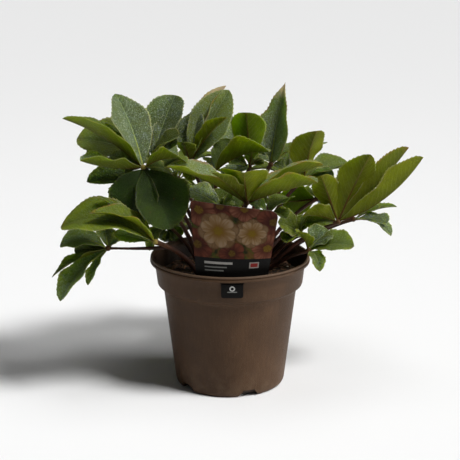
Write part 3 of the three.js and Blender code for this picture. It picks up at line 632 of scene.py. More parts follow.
def make_leaf_under():
    w, _, mottle, leaf, veins, margin = open_blade_finish(
        "leaf_under", 0.02, 0.0013, 0.0016)
    midrib = w.blend(w.span(leaf.reach, 0.35, 0.8, 1.0, 0.0), "under midrib",
                     "under midrib red")
    colour = w.coats(
        blade_green(w, leaf.fresh, "under"),
        (mottle.patches * 0.4, "under patch"),
        # painted shade along the fold by the midrib
        (w.span(abs(leaf.across), 0.0, 0.012, 0.45, 0.0), "under fold shade"),
        (leaf.bloom * 0.15, "under wax"),
        (mottle.grain * 0.16, "under grain"),
        (mottle.dots * (leaf.fresh * 0.14), "under speck"),
        (veins.net * 0.20, "under net"),
        (veins.side_veins * 0.36, "under vein"),
        (veins.midrib * 0.85, midrib),
        # a pale margin, partly the blade's own paler edge and partly a painted highlight along
        # it
        (margin.rim * (leaf.fresh * 0.4 + 0.15), "under pale rim and highlight"),
        (margin.blush * 0.8, "under blush"),
        (margin.dry * 0.85, "under dry tip"),
        (margin.spots * 0.8, "brown spot"))
    return close_finish(w, colour, w.ramp(mottle.grain, 0.52, 0.70),
                        mottle.grain * 0.3 + veins.height, 0.0006,
                        Specular_IOR_Level=0.12, **LEAF_GLOW)


def make_leaf_joint():
    w, _, mottle = open_finish("leaf_joint", 0.004, 0.0006)
    pale = w.blend(mottle.patches, "joint green", "joint tan")
    red = w.blend(mottle.patches, "joint wine", "joint red")
    colour = w.coats(w.blend(w.carried("fresh")[0], red, pale),
                     (mottle.grain * 0.1, "joint grain"))
    return close_finish(w, colour, w.ramp(mottle.grain, 0.4, 0.6), mottle.height,
                        0.0004, Specular_IOR_Level=0.15)


def drawn_out(w, place, squeeze):
    """The same place with heights squeezed, which draws a pattern out upward."""
    return w.put("ShaderNodeMapping", {"Vector": place, "Scale": (1.0, 1.0, squeeze)})


def make_stalk_skin():
    w, place, mottle = open_finish("stalk_skin", 0.012, 0.0007)
    up_stalk, = w.carried("reach")
    streaks = w.span(w.noise(drawn_out(w, place, 0.12), 900.0, 2.0, 0.6), 0.35, 0.65)
    colour = w.coats(
        w.blend(mottle.patches, "stalk dark", "stalk red"),
        (w.span(up_stalk, 0.55, 1.0) * (mottle.patches * 0.2 + 0.1), "stalk green"),
        (streaks * 0.35, "stalk streak"),
        (w.span(up_stalk, 0.15, 0.6, 0.6, 0.0), "stalk foot"),
        (mottle.grain * 0.08, "stalk grain"))
    return close_finish(w, colour, w.ramp(mottle.grain, 0.36, 0.55),
                        streaks + mottle.grain, 0.00018, Specular_IOR_Level=0.16)


POT_RADIUS = 0.06942     # of the middle of its wall at the ground
POT_SPREAD = 0.1325      # how much wider that gets for each metre up
INNER_SHADE_FROM = 0.1275       # where the painted shade on the inside wall, below the rim, begins


def make_pot_plastic():
    w, place, mottle = open_finish("pot_plastic", 0.05, 0.0009)
    streaks = w.span(w.noise(drawn_out(w, place, 0.10), 420.0, 2.0, 0.5), 0.32, 0.68)
    flecks = w.span(w.noise(place, 620.0, 2.0, 0.7), 0.60, 0.74)
    x, y, height = w.parts(place)
    inner = w.length(x, y) - height * POT_SPREAD < POT_RADIUS
    dusty = w.span(height, 0.0, 0.05, 1.0, 0.0) * w.span(w.noise(place, 60.0), 0.4, 0.65)
    colour = w.coats(
        w.blend(mottle.patches, "pot dark", "pot brown"),
        (streaks * 0.26, "pot streak"),
        (flecks * 0.30, "pot fleck"),
        (dusty * 0.30, "pot dust"),
        # painted highlight along the top band of the rim
        (w.span(height, 0.1555, 0.158) * 0.30, "pot lip highlight"),
        # painted shade on the inside wall above the compost, darkest lowest down
        (inner * (height > INNER_SHADE_FROM) * w.span(height, 0.135, 0.154, 0.92, 0.45), "pot inner shade"))
    return close_finish(w, colour, w.ramp(mottle.grain, 0.46, 0.64),
                        mottle.grain * 0.7 + streaks * 0.2, 0.00016,
                        Specular_IOR_Level=0.18)


def make_compost_earth():
    w, place, mottle = open_finish("compost_earth", 0.006, 0.0009)
    crumbs = w.span(w.noise(place, 520.0, 2.0), 0.63, 0.70)
    colour = w.coats(w.blend(mottle.patches, "peat dark", "peat brown"),
                     (mottle.grain * 0.5, "peat grain"), (crumbs * 0.8, "peat crumb"))
    return close_finish(w, colour, w.ramp(mottle.grain, 0.80, 0.98), mottle.height, 0.0015)


def make_bark():
    w, _, mottle = open_finish("bark_chip", 0.004, 0.0006)
    colour = w.coats(w.blend(w.carried("shade")[0], "bark dark", "bark red"),
                     (mottle.patches * 0.55, "bark patch"),
                     (mottle.grain * 0.25, "bark grain"))
    return close_finish(w, colour, w.ramp(mottle.grain, 0.70, 0.92), mottle.height, 0.0006)


def make_pale_grit():
    w, _, mottle = open_finish("pale_grit", 0.003, 0.0004)
    colour = w.coats(w.blend(mottle.patches, "grit tan", "grit pale"),
                     (mottle.grain * 0.3, "grit dirt"))
    return close_finish(w, colour, w.ramp(mottle.grain, 0.75, 0.95), mottle.height, 0.0004)


LEAF_UPPER = make_leaf_upper()
LEAF_UNDER = make_leaf_under()
LEAF_JOINT = make_leaf_joint()
STALK_SKIN = make_stalk_skin()
POT_PLASTIC = make_pot_plastic()
COMPOST_EARTH = make_compost_earth()
BARK_CHIP = make_bark()
PALE_GRIT = make_pale_grit()


# ---- meshes from points ----

def add_object(name, data):
    obj = bpy.data.objects.new(name, data)
    bpy.context.scene.collection.objects.link(obj)
    return obj


def mesh_from(name, points, faces, carried=None):
    """A smooth mesh from points in mm, with the numbers or directions that they carry."""
    mesh = bpy.data.meshes.new(name)
    mesh.from_pydata((np.asarray(points) * MM).tolist(), [], faces)
    for label, values in (carried or {}).items():
        values = np.asarray(values, dtype=np.float32)
        form, field = ("FLOAT", "value") if values.ndim == 1 else ("FLOAT_VECTOR", "vector")
        layer = mesh.attributes.new(label, form, "POINT")
        layer.data.foreach_set(field, values.ravel())
    mesh.polygons.foreach_set("use_smooth", [True] * len(mesh.polygons))
    mesh.update()
    return mesh


class Gathering:
    """Points, faces and carried values of several shapes that make up one mesh."""

    def __init__(self):
        self.points, self.faces, self.carried = [], [], {}

    def add(self, points, faces, values):
        start = sum(map(len, self.points))
        self.points.append(points)
        self.faces += [tuple(start + k for k in face) for face in faces]
        for label, value in values.items():
            self.carried.setdefault(label, []).append(np.broadcast_to(
                value, (len(points), 3) if label == "rise" else len(points)))

    def mesh(self, name):
        carried = {label: np.concatenate(parts) for label, parts in self.carried.items()}
        return mesh_from(name, np.concatenate(self.points), self.faces, carried)


def line_object(name, points):
    """An object that is one line through points in mm, for a geometry tree to work on."""
    mesh = bpy.data.meshes.new(name)
    mesh.from_pydata((np.asarray(points) * MM).tolist(),
                     [(k, k + 1) for k in range(len(points) - 1)], [])
    return add_object(name, mesh)


def sheet_faces(rows, columns):
    """Faces of a closed sheet: a near grid, a far grid, and the edge between them."""
    def at(side, i, j):
        return side * rows * columns + i * columns + j
    faces = []
    for i in range(rows - 1):
        for j in range(columns - 1):
            faces.append((at(0, i, j), at(0, i + 1, j), at(0, i + 1, j + 1), at(0, i, j + 1)))
            faces.append((at(1, i, j), at(1, i, j + 1), at(1, i + 1, j + 1), at(1, i + 1, j)))
    last = columns - 1
    for i in range(rows - 1):
        faces.append((at(0, i, 0), at(1, i, 0), at(1, i + 1, 0), at(0, i + 1, 0)))
        faces.append((at(0, i, last), at(0, i + 1, last), at(1, i + 1, last), at(1, i, last)))
    last = rows - 1
    for j in range(columns - 1):
        faces.append((at(0, 0, j), at(0, 0, j + 1), at(1, 0, j + 1), at(1, 0, j)))
        faces.append((at(0, last, j), at(1, last, j), at(1, last, j + 1), at(0, last, j + 1)))
    return faces


# ---- leaflets ----

SUNK_ROOT = 2.2          # how deep in the joint a leaflet begins
BASE_HALF_WIDTH = 1.0
TIP_HALF_WIDTH = 0.25
DEFAULT_FOLD = 28
DEFAULT_BELLY = 0.63     # where along its length a leaflet is widest
KEENNESS = 1.67          # how quickly its outline closes in towards both ends
UNFOLDING = 0.35
FOLD_ROUNDING = 0.05
WAVE = 0.035
WAVES = 1.5
UNEVEN = 0.05            # how far a margin strays from its even outline
UNEVEN_BEATS = (1, 2, 3, 5)
UNEVEN_PACE = 0.8
UNEVEN_FADE = 0.7        # how much smaller the quicker beats are
RAGGED = {"front_centre": 0.11, "centre_spire": 0.08, "right_inner": 0.09}   # nibbled
RIPPLE = 1.4             # extra rise and fall of a margin
RIPPLES = 2.6
TOOTH_PITCH = 4.6        # fine teeth along the outer part of each margin
TOOTH_DEPTH = 1.25
TOOTH_SHAPE = ((0.0, 0.0), (0.45, 0.45), (0.86, 1.0))    # notch, flank and point
TEETH_FROM = 0.34
TEETH_TO = 0.97
SMOOTH_STEPS = 9         # steps of length before the teeth begin
LEAST_TEETH = 3
LAST_STEP = 0.985
TOOTHED_FROM = 0.97      # only the very margin is toothed
FULL_TEETH = 8           # the half width from which teeth have their full depth
BLADE_THICK = 0.75       # at the midrib, near the joint
THINNER_AT_MARGIN = 0.6
THINNER_AT_TIP = 0.45
ACROSS_STEPS = np.array([0, 0.03, 0.07, 0.14, 0.24, 0.36, 0.48, 0.60, 0.72, 0.83, 0.93, 1.0])

FAN_STEP = 58
FAN_DROOP = 12
FAN_SHORTENING = 0.13
FAN_WIDTH = 0.5
FAN_ARCH = 10

KNUCKLE_RADIUS = 3.4
KNUCKLE_RINGS = 9
KNUCKLE_SIDES = 14
KNUCKLE_LUMPS = 0.08


def fan_leaflets(heading, rise, length):
    rows = []
    for tint_kind, side in zip(FAN_RIPENESS, (-2, -1, 0, 1, 2)):
        long = length * (1 - FAN_SHORTENING * abs(side))
        rows.append((tint_kind, heading + side * FAN_STEP, rise - FAN_DROOP * abs(side), long,
                     long * FAN_WIDTH, FAN_ARCH, 0))
    return rows


def leaflet_axes(heading, rise, roll):
    """Which ways a leaflet points: along it, up from its face, and across it."""
    h, r, t = (math.radians(a) for a in (heading, rise, roll))
    along = np.array([math.cos(r) * math.cos(h), math.cos(r) * math.sin(h), math.sin(r)])
    level = np.array([-math.sin(r) * math.cos(h), -math.sin(r) * math.sin(h), math.cos(r)])
    side = np.cross(along, level)
    up = level * math.cos(t) + side * math.sin(t)
    return along, up, side * math.cos(t) - level * math.sin(t)


def length_steps(length):
    """Shares of the length, with steps for every tooth, and how far each pushes out."""
    steps = list(np.linspace(0, TEETH_FROM, SMOOTH_STEPS)[:-1])
    pushes = [0.0] * len(steps)
    count = max(int(length * (TEETH_TO - TEETH_FROM) / TOOTH_PITCH), LEAST_TEETH)
    for k in range(count):
        for phase, push in TOOTH_SHAPE:
            steps.append(TEETH_FROM + (TEETH_TO - TEETH_FROM) * (k + phase) / count)
            pushes.append(push)
    ending = [TEETH_TO, LAST_STEP, 1.0]
    return np.array(steps + ending), np.array(pushes + [0.0] * len(ending))


def leaflet(palm, row, dice, uneven):
    """Points of one leaflet, upper face then underside, its faces, and what they carry."""
    heading, rise, length, width, arch, roll, *rest = row
    fold, belly = (*rest, *(DEFAULT_FOLD, DEFAULT_BELLY)[len(rest):])
    along, up, across = leaflet_axes(heading, rise, roll)
    steps, pushes = length_steps(length)
    v_line = np.concatenate([-ACROSS_STEPS[:0:-1], ACROSS_STEPS])
    u, v = np.meshgrid(steps, v_line, indexing="ij")
    push = np.meshgrid(pushes, v_line, indexing="ij")[0]
    left, out, middle = v < 0, np.abs(v), np.sin(np.pi * u)

    with np.errstate(divide="ignore", invalid="ignore"):
        shape = (u / belly) ** (KEENNESS * belly)
        shape = shape * ((1 - u) / (1 - belly)) ** (KEENNESS * (1 - belly))
    least = BASE_HALF_WIDTH + (TIP_HALF_WIDTH - BASE_HALF_WIDTH) * u
    half = (least ** 4 + (np.nan_to_num(shape) * width / 2) ** 4) ** 0.25
    swells = [sum(uneven / n ** UNEVEN_FADE
                  * np.sin(2 * np.pi * (n * UNEVEN_PACE * u + dice.random()))
                  for n in UNEVEN_BEATS) for _ in range(2)]
    half = half * (1 + np.where(left, *swells) * middle)
    teeth = push * TOOTH_DEPTH * np.clip(half / FULL_TEETH, 0, 1)
    half = half + np.where(out > TOOTHED_FROM, teeth, 0)

    away = np.sqrt(v * v + FOLD_ROUNDING ** 2) - FOLD_ROUNDING
    lift = math.radians(fold) * (1 - UNFOLDING * u)
    wave = WAVE * width * middle * np.sin(2 * np.pi * WAVES * u + np.sign(v) * out)
    ripples = [RIPPLE * np.sin(2 * np.pi * (RIPPLES * u + dice.random())) for _ in range(2)]
    wave = wave + np.where(left, *ripples) * middle * out
    reach = SUNK_ROOT + (length - SUNK_ROOT) * u
    height = arch * 4 * u * (1 - u) + away * (half * np.sin(lift) + wave)
    sheet = (np.asarray(palm, float) + along * reach[..., None] + up * height[..., None]
             + across * (v * half * np.cos(lift))[..., None])
    thick = BLADE_THICK * (1 - THINNER_AT_MARGIN * out) * (1 - THINNER_AT_TIP * u)
    faces = [sheet + side * up * (thick / 2)[..., None] for side in (1, -1)]
    carried = {label: np.tile(values.ravel(), 2) for label, values in (
        ("along", reach * MM), ("across", v * half * MM), ("reach", u), ("edge", out))}
    carried.update(under=np.repeat([0.0, 1.0], u.size), rise=up)
    return (np.concatenate([f.reshape(-1, 3) for f in faces]),
            sheet_faces(len(steps), len(v_line)), carried)


def knuckle(palm):
    """The small lumpy joint where the leaflets of one leaf meet."""
    pole = np.array((0, 0, KNUCKLE_RADIUS))
    points = [-pole]
    for i in range(1, KNUCKLE_RINGS):
        t = math.pi * i / KNUCKLE_RINGS
        for j in range(KNUCKLE_SIDES):
            a = 2 * math.pi * j / KNUCKLE_SIDES
            bulge = KNUCKLE_RADIUS * (1 + KNUCKLE_LUMPS * math.sin(3 * a + i)) * math.sin(t)
            points.append((bulge * math.cos(a), bulge * math.sin(a),
                           -KNUCKLE_RADIUS * math.cos(t)))
    points.append(pole)
    top = len(points) - 1
    faces = []
    for j in range(KNUCKLE_SIDES):
        n = (j + 1) % KNUCKLE_SIDES
        faces.append((0, 1 + n, 1 + j))
        faces.append((top, top - KNUCKLE_SIDES + j, top - KNUCKLE_SIDES + n))
        for i in range(KNUCKLE_RINGS - 2):
            a, b = 1 + i * KNUCKLE_SIDES, 1 + (i + 1) * KNUCKLE_SIDES
            faces.append((a + j, a + n, b + n, b + j))
    return np.array(points) + palm, faces


def make_vein_relief():
    """Sinks the midrib, raises it beneath, and puckers the blade between its side veins."""
    w, given = open_shaping("vein_relief", {
        "Blades": "shape", **VEINS, "Pucker": 0.00048, "Midrib Width": 0.0013,
        "Midrib Groove": 0.0003, "Midrib Ridge": 0.0008,
        "Upper": "material", "Under": "material", "Joint": "material"})
    along, across, reach, edge, under, seed, joint = w.carried(
        "along", "across", "reach", "edge", "under", "seed", "joint")
    away, phase = vein_phase(given, along, across, seed)
    swell = w.math("COSINE", phase * (2 * math.pi))
    held = w.span(away, 0.001, 0.007) * w.span(edge, 0.8, 1.0, 1.0, 0.2)
    bell = across / (given.midrib_width * w.ramp(reach, 1.0, 0.35))
    bell = w.math("EXPONENT", bell * bell * -1.0)
    deep = given.midrib_groove + under * (given.midrib_ridge - given.midrib_groove)
    drop = bell * deep * w.ramp(reach, 1.0, 0.2)
    rise = w.geo("InputNamedAttribute", {"Name": "rise"}, data_type="FLOAT_VECTOR")
    moved = w.geo("SetPosition", {
        "Geometry": given.blades,
        "Offset": w.scaled(rise, (swell * given.pucker * held - drop) * (joint < 0.5))})
    leaf = w.geo("RealizeInstances", {"Geometry": moved})
    leaf = w.geo("SetMaterial", {"Geometry": leaf, "Material": given.upper})
    for share, finish in ((under, given.under), (joint, given.joint)):
        leaf = w.geo("SetMaterial", {"Geometry": leaf, "Selection": share > 0.5,
                                     "Material": finish})
    return w.close(Shape=leaf)


VEIN_RELIEF = make_vein_relief()


def build_leaf(name, leaf):
    rows = [*(leaf.get("leaflets") or fan_leaflets(*leaf["fan"])), *leaf.get("small", [])]
    dice = np.random.default_rng(sum(map(ord, name)))
    blades = Gathering()
    for tint_kind, *row in rows:
        points, faces, carried = leaflet(leaf["palm"], row, dice, RAGGED.get(name, UNEVEN))
        carried.update(zip(("bloom", "fresh", "blush"), RIPENESS_AND_PAINTED_LIGHT[tint_kind]))
        blades.add(points, faces, {**carried, "seed": dice.random(), "joint": 0.0})
    still = dict.fromkeys(blades.carried, 0.0)
    paleness = 1.0 if name in PALE_JOINTS else 0.1
    blades.add(*knuckle(leaf["palm"]),
               {**still, "fresh": paleness, "joint": 1.0, "rise": (0, 0, 1)})
    title = f"blades_{name}"
    obj = shape_with(add_object(title, blades.mesh(title)), VEIN_RELIEF, Upper=LEAF_UPPER,
                     Under=LEAF_UNDER, Joint=LEAF_JOINT)
    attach(obj, BODY)
    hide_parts(f"leaf_{name}")


# ---- stalks ----

STALK_RADIUS = 2.6
STALK_FOOT = CROWN_TOP - 2
STALK_BOW = 0.35
BRANCH_PERCENT = 80      # how far up its stalk a side branch leaves it


def stalk_path(foot, palm, points=30):
    foot, palm = np.array(foot, float), np.array(palm, float)
    middle = foot + (palm - foot) * (0.5 - STALK_BOW / 2)
    middle[2] = foot[2] + (palm[2] - foot[2]) * (0.5 + STALK_BOW / 2)
    t = np.linspace(0, 1, points)[:, None]
    return foot * (1 - t) ** 2 + 2 * middle * t * (1 - t) + palm * t ** 2


def make_stalk_tree():
    """Sweeps a stalk along its path: flared at the foot, slimmer above, uneven all round."""
    w, given = open_shaping("leaf_stalk", {
        "Path": "shape", "Radius": 0.0026, "Foot Flare": 1.35, "Palm Taper": 0.82,
        "Sides": 16, "Unevenness": 0.00025, "Finish": "material"})
    share = w.geo("SplineParameter", out="Factor")
    slim = w.span(share, 0.0, 0.8, given.foot_flare, given.palm_taper)
    swell = w.span(share, 0.9, 1.0, 0.0, 0.22)
    curve = w.geo("StoreNamedAttribute", {
        "Geometry": w.geo("MeshToCurve", {"Mesh": given.path}), "Name": "reach",
        "Value": share}, data_type="FLOAT", domain="POINT")
    tube = w.geo("CurveToMesh", {
        "Curve": curve, "Fill Caps": True, "Scale": given.radius * (slim + swell),
        "Profile Curve": w.geo("CurvePrimitiveCircle", {
            "Resolution": given.sides, "Radius": 1.0}, out="Curve")})
    stretched = w.put("ShaderNodeVectorMath", {
        0: w.geo("InputPosition"), 1: (260.0, 260.0, 50.0)}, operation="MULTIPLY")
    bumps = w.noise(stretched, 1.0, 2.0) - 0.5
    tube = w.geo("SetPosition", {"Geometry": tube, "Offset": w.scaled(
        w.geo("InputNormal"), bumps * (given.unevenness * 2.0))})
    tube = w.geo("SetShadeSmooth", {"Geometry": tube, "Shade Smooth": True})
    return w.close_shape(tube, given.finish)


LEAF_STALK = make_stalk_tree()


def sweep_stalk(name, path, radius):
    return shape_with(line_object(name, path), LEAF_STALK, Radius=radius * MM,
                      Finish=STALK_SKIN)


def build_stalk(name, leaf):
    foot = (*leaf["foot"], STALK_FOOT)
    radius = leaf.get("stalk", STALK_RADIUS)
    obj = sweep_stalk(f"stem_{name}", stalk_path(foot, leaf["palm"]), radius)
    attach(obj, BODY)
    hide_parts(f"stalk_{name}")
    for other, branch in LEAVES.items():
        if branch.get("branch_of") == name:
            fork = stalk_path(foot, leaf["palm"], 101)[BRANCH_PERCENT]
            side = sweep_stalk(f"stem_{other}", stalk_path(fork, branch["palm"]),
                               branch["stalk"])
            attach(side, BODY)


# ---- turned pieces: pot and compost ----

def make_turning():
    """Turns a profile (x outward, z up) about the upright axis into a closed shell."""
    w, given = open_shaping("turned_shell", {
        "Profile": "shape", "Sides": 120, "Clod Height": 0.0, "Clods Above": 1.0,
        "Finish": "material"})
    count = w.geo("AttributeDomainSize", {"Geometry": given.profile}, out="Point Count",
                  component="MESH")
    around = given.sides + 1.0
    grid = w.geo("MeshGrid", {"Vertices X": count, "Vertices Y": around}, out="Mesh")
    index = w.geo("InputIndex")
    ring = w.math("FLOOR", (index + 0.5) / around)
    place = w.geo("InputPosition")
    radius, _, height = w.parts(w.geo("SampleIndex", {
        "Geometry": given.profile, "Value": place, "Index": ring},
        data_type="FLOAT_VECTOR", domain="POINT"))
    angle = (index - ring * around) / given.sides * (2 * math.pi)
    point = w.vector(radius * w.math("COSINE", angle), radius * w.math("SINE", angle), height)
    shell = w.geo("SetPosition", {"Geometry": grid, "Position": point})
    shell = w.geo("MergeByDistance", {"Geometry": shell, "Distance": 1e-6})
    clods = w.noise(place, 75.0, 3.0, 0.6) * 0.65 + w.noise(place, 420.0, 2.0, 0.6) * 0.35
    above = given.clods_above
    high = w.span(w.parts(place)[2], above, above + 0.002)
    lift = (clods - 0.5) * given.clod_height * high
    shell = w.geo("SetPosition", {"Geometry": shell, "Offset": w.vector(0.0, 0.0, lift)})
    shell = w.geo("SetShadeSmooth", {"Geometry": shell, "Shade Smooth": True})
    return w.close_shape(shell, given.finish)


TURNED_SHELL = make_turning()


def turn_profile(name, profile, sides, finish, **settings):
    line = line_object(name, [(r, 0, z) for r, z in profile])
    return point_outward(shape_with(line, TURNED_SHELL, Sides=sides, Finish=finish,
                                    **settings))


def point_outward(obj):
    """Turns a closed mesh's faces over if they point in."""
    mesh = obj.data
    mesh.calc_loop_triangles()
    co = np.empty(len(mesh.vertices) * 3)
    mesh.vertices.foreach_get("co", co)
    corners = np.empty(len(mesh.loop_triangles) * 3, dtype=np.int64)
    mesh.loop_triangles.foreach_get("vertices", corners)
    a, b, c = co.reshape(-1, 3)[corners.reshape(-1, 3)].transpose(1, 0, 2)
    if np.einsum("ij,ij->", a, np.cross(b, c)) < 0:
        mesh.flip_normals()
    return obj


def add_bar(name, points):
    """A straight bar with flat ends: the points of one end, then those of the other."""
    n = len(points) // 2
    faces = [(0, *range(n - 1, 0, -1)), tuple(range(n, 2 * n))]
    faces += [(k, (k + 1) % n, (k + 1) % n + n, k + n) for k in range(n)]
    return point_outward(add_object(name, mesh_from(name, points, faces)))


def turned(points, turn):
    c, s = math.cos(turn), math.sin(turn)
    return [(x * c - y * s, x * s + y * c, z) for x, y, z in points]


def channel_bar(name, grow, turn):
    """One drainage channel as a solid ridge of trapezoid section, run out along a radius."""
    foot, roof = CHANNEL_FOOT_WIDTH / 2 + grow, CHANNEL_ROOF_WIDTH / 2 + grow
    top = CHANNEL_HEIGHT + grow
    section = [(-foot, CUT_BELOW), (foot, CUT_BELOW), (roof, top), (-roof, top)]
    return add_bar(name, turned([(x, y, z) for x in (CHANNEL_INNER_END - grow,
                                                     CHANNEL_OUTER_END)
                                 for y, z in section], turn))


def drain_pin(name, turn):
    """The round drain hole at the channel's flank, as a pin."""
    middle = (CHANNEL_FOOT_WIDTH + CHANNEL_ROOF_WIDTH) / 4
    angles = [2 * math.pi * k / DRAIN_SIDES for k in range(DRAIN_SIDES)]
    return add_bar(name, turned([
        (DRAIN_OUT + DRAIN_RADIUS * math.cos(a), y, DRAIN_UP + DRAIN_RADIUS * math.sin(a))
        for y in (middle - DRAIN_REACH, middle + DRAIN_REACH) for a in angles], turn))


def slot_block(name):
    """The slot in the collar that the label's tongue comes out through."""
    left, right = TONGUE_LEFT - SLOT_PLAY, TONGUE_RIGHT + SLOT_PLAY
    return add_bar(name, [(x, y, z) for z in (TONGUE_TOP - SLOT_BELOW, TONGUE_TOP + SLOT_ABOVE)
                          for x, y in ((left, SLOT_OUTER), (right, SLOT_OUTER),
                                       (right, SLOT_INNER), (left, SLOT_INNER))])


def carve(obj, operation, *tools):
    """Joins, cuts or keeps the common part with each tool in turn, and clears them away."""
    for tool in tools:
        modifier = obj.modifiers.new("carve", "BOOLEAN")
        modifier.operation = operation
        modifier.solver = "EXACT"
        modifier.object = tool
        bake(obj, modifier)
    for tool in tools:
        shape = tool.data
        bpy.data.objects.remove(tool)
        bpy.data.meshes.remove(shape)


def build_pot():
    turns = [math.radians(FIRST_CHANNEL + 360 / CHANNELS * k) for k in range(CHANNELS)]
    pot = turn_profile("pot_body", POT_OUTSIDE + POT_INSIDE, POT_SIDES, POT_PLASTIC)
    low_outside = [p for p in POT_OUTSIDE if p[1] < CHANNEL_ZONE]
    for k, turn in enumerate(turns):
        roof = channel_bar(f"roof_{k}", WALL, turn)
        carve(roof, "INTERSECT", turn_profile(
            f"within_{k}", low_outside + [(0, low_outside[-1][1])], POT_SIDES, POT_PLASTIC))
        carve(pot, "UNION", roof)
    carve(pot, "DIFFERENCE",
          *(channel_bar(f"channel_{k}", 0, t) for k, t in enumerate(turns)),
          *(drain_pin(f"drain_{k}", t) for k, t in enumerate(turns)), slot_block("slot"))
    faces = pot.data.polygons
    faces.foreach_set("use_smooth", [True] * len(faces))
    pot.data.set_sharp_from_angle(angle=math.radians(SHARP_EDGE))
    pot.data.materials.clear()
    pot.data.materials.append(POT_PLASTIC)
    faces.foreach_set("material_index", [0] * len(faces))
    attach(pot, BODY)
    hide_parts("pot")


def build_compost():
    top = []
    for (r0, z0), (r1, z1) in zip(COMPOST_RINGS, COMPOST_RINGS[1:]):
        steps = max(int((r0 - r1) / COMPOST_STEP), 1)
        top += [(r0 + (r1 - r0) * k / steps, z0 + (z1 - z0) * k / steps)
                for k in range(steps)]
    bed = turn_profile("compost_bed", COMPOST_UNDER + top + COMPOST_RINGS[-1:],
                       COMPOST_SIDES, COMPOST_EARTH, Clod_Height=CLOD_HEIGHT * MM,
                       Clods_Above=CLODS_ABOVE * MM)
    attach(bed, BODY)
    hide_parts("compost")
    return bed


# ---- bits lying on the compost ----

BED_TOP = 0.130          # bits lie on what is higher than this

def bed_points(w, given, place):
    """Points spread over the top of the bed by the seed, only where it is level enough if a
    least upward slope is given.
    """
    x, y, z = w.parts(place)
    on_top = (w.length(x, y) < given.reach) * (z > BED_TOP)
    if hasattr(given, "least_upward"):
        on_top = on_top * (w.parts(w.geo("InputNormal"))[2] > given.least_upward)
    return w.geo("DistributePointsOnFaces", {
        "Mesh": given.bed, "Selection": on_top, "Density": given.number,
        "Seed": given.seed}, out="Points", distribute_method="RANDOM")


def lay_bits(w, points, bit, scale, lean, shade):
    """One bit on every point, turned and shaded by chance."""
    laid = w.geo("InstanceOnPoints", {
        "Points": points, "Instance": bit, "Scale": scale,
        "Rotation": w.put("FunctionNodeEulerToRotation", {0: lean})})
    laid = w.geo("StoreNamedAttribute", {"Geometry": laid, "Name": "shade", "Value": shade},
                 data_type="FLOAT", domain="INSTANCE")
    return w.geo("RealizeInstances", {"Geometry": laid})


def make_scatter():
    """Scatters rough bits over the top of the compost, each turned and sized by the seed."""
    w, given = open_shaping("scattered_bits", {
        "Bed": "shape", "Length": 0.007, "Width": 0.003, "Thickness": 0.0012,
        "Number": 9000.0, "Reach": 0.083, "Least Upward": 0.2, "Roughness": 0.0009,
        "Seed": 1, "Finish": "material"})
    seed, place = given.seed, w.geo("InputPosition")
    chip = w.geo("MeshCube", {"Size": (1.0, 1.0, 1.0), "Vertices X": 4, "Vertices Y": 3,
                              "Vertices Z": 2}, out="Mesh")
    size = w.random(0.45, 1.35, seed + 1.0)
    scale = w.vector(given.length * size, given.width * size, given.thickness)
    lean = w.random((-0.5, -0.5, 0.0), (0.5, 0.5, 6.283), seed + 2.0)
    real = lay_bits(w, bed_points(w, given, place), chip, scale, lean,
                    w.random(0.0, 1.0, seed + 3.0))
    dents = w.noise(place, 330.0, 2.0, 0.5, out="Color")
    dents = w.put("ShaderNodeVectorMath", {0: dents, 1: (0.5, 0.5, 0.5)},
                  operation="SUBTRACT")
    rough = w.geo("SetPosition", {"Geometry": real, "Offset": w.scaled(
        dents, given.roughness * 3.0)})
    return w.close_shape(rough, given.finish)


def make_fibres():
    """Lays short bent root fibres over the compost."""
    w, given = open_shaping("root_fibres", {
        "Bed": "shape", "Length": 0.016, "Radius": 0.00035, "Number": 2500.0,
        "Reach": 0.078, "Seed": 5, "Finish": "material"})
    seed = given.seed
    bow = w.geo("CurveQuadraticBezier", {
        "Resolution": 9, "Start": (-0.5, 0.0, -0.02), "Middle": (0.05, 0.35, 0.16),
        "End": (0.5, 0.05, -0.03)})
    lean = w.random((-0.35, -0.3, 0.0), (0.35, 0.3, 6.283), seed + 1.0)
    scale = given.length * w.random(0.4, 1.3, seed + 2.0)
    real = lay_bits(w, bed_points(w, given, w.geo("InputPosition")), bow, scale, lean,
                    w.random(0.2, 1.0, seed + 3.0))
    strands = w.geo("CurveToMesh", {
        "Curve": real, "Fill Caps": True, "Scale": given.radius,
        "Profile Curve": w.geo("CurvePrimitiveCircle", {"Resolution": 5, "Radius": 1.0},
                               out="Curve")})
    strands = w.geo("SetShadeSmooth", {"Geometry": strands, "Shade Smooth": True})
    return w.close_shape(strands, given.finish)


def lay_on(bed, name, tree, finish, **settings):
    obj = shape_with(add_object(name, bed.data.copy()), tree, Finish=finish, **settings)
    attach(obj, BODY)


# ---- label ----

def card_point(across, up):
    """A point of the bent card: across from -1 to 1, up from 1 at the head to -1 at the foot."""
    share, shown_up = (across + 1) / 2, max(up, 0)
    corner = {k: np.array(v, float) for k, v in CARD_CORNERS.items()}
    low = corner["lower_left"] * (1 - share) + corner["lower_right"] * share
    high = corner["upper_left"] * (1 - share) + corner["upper_right"] * share
    point = low * (1 - shown_up) + high * shown_up
    bulge = CARD_BULGE_LOW + (CARD_BULGE_HIGH - CARD_BULGE_LOW) * shown_up
    point[1] -= bulge * (1 - across * across)
    if up < 0:
        point[2] = CARD_HEM + (CARD_BOTTOM - CARD_HEM) * -up
    return point


def corner_inset(drop, radius):
    """How far a rounded corner cuts in, at a distance below the top edge."""
    return radius - math.sqrt(max(radius ** 2 - (radius - drop) ** 2, 0)) if drop < radius else 0


def card_sheet(points, card_x, card_y, rows, columns):
    """A sheet's points and faces, with the place on the print and the side of each point."""
    return np.array(points), sheet_faces(rows, columns), {
        "card_x": np.array(card_x) * MM, "card_y": np.array(card_y) * MM,
        "back": np.repeat([0.0, 1.0], rows * columns)}


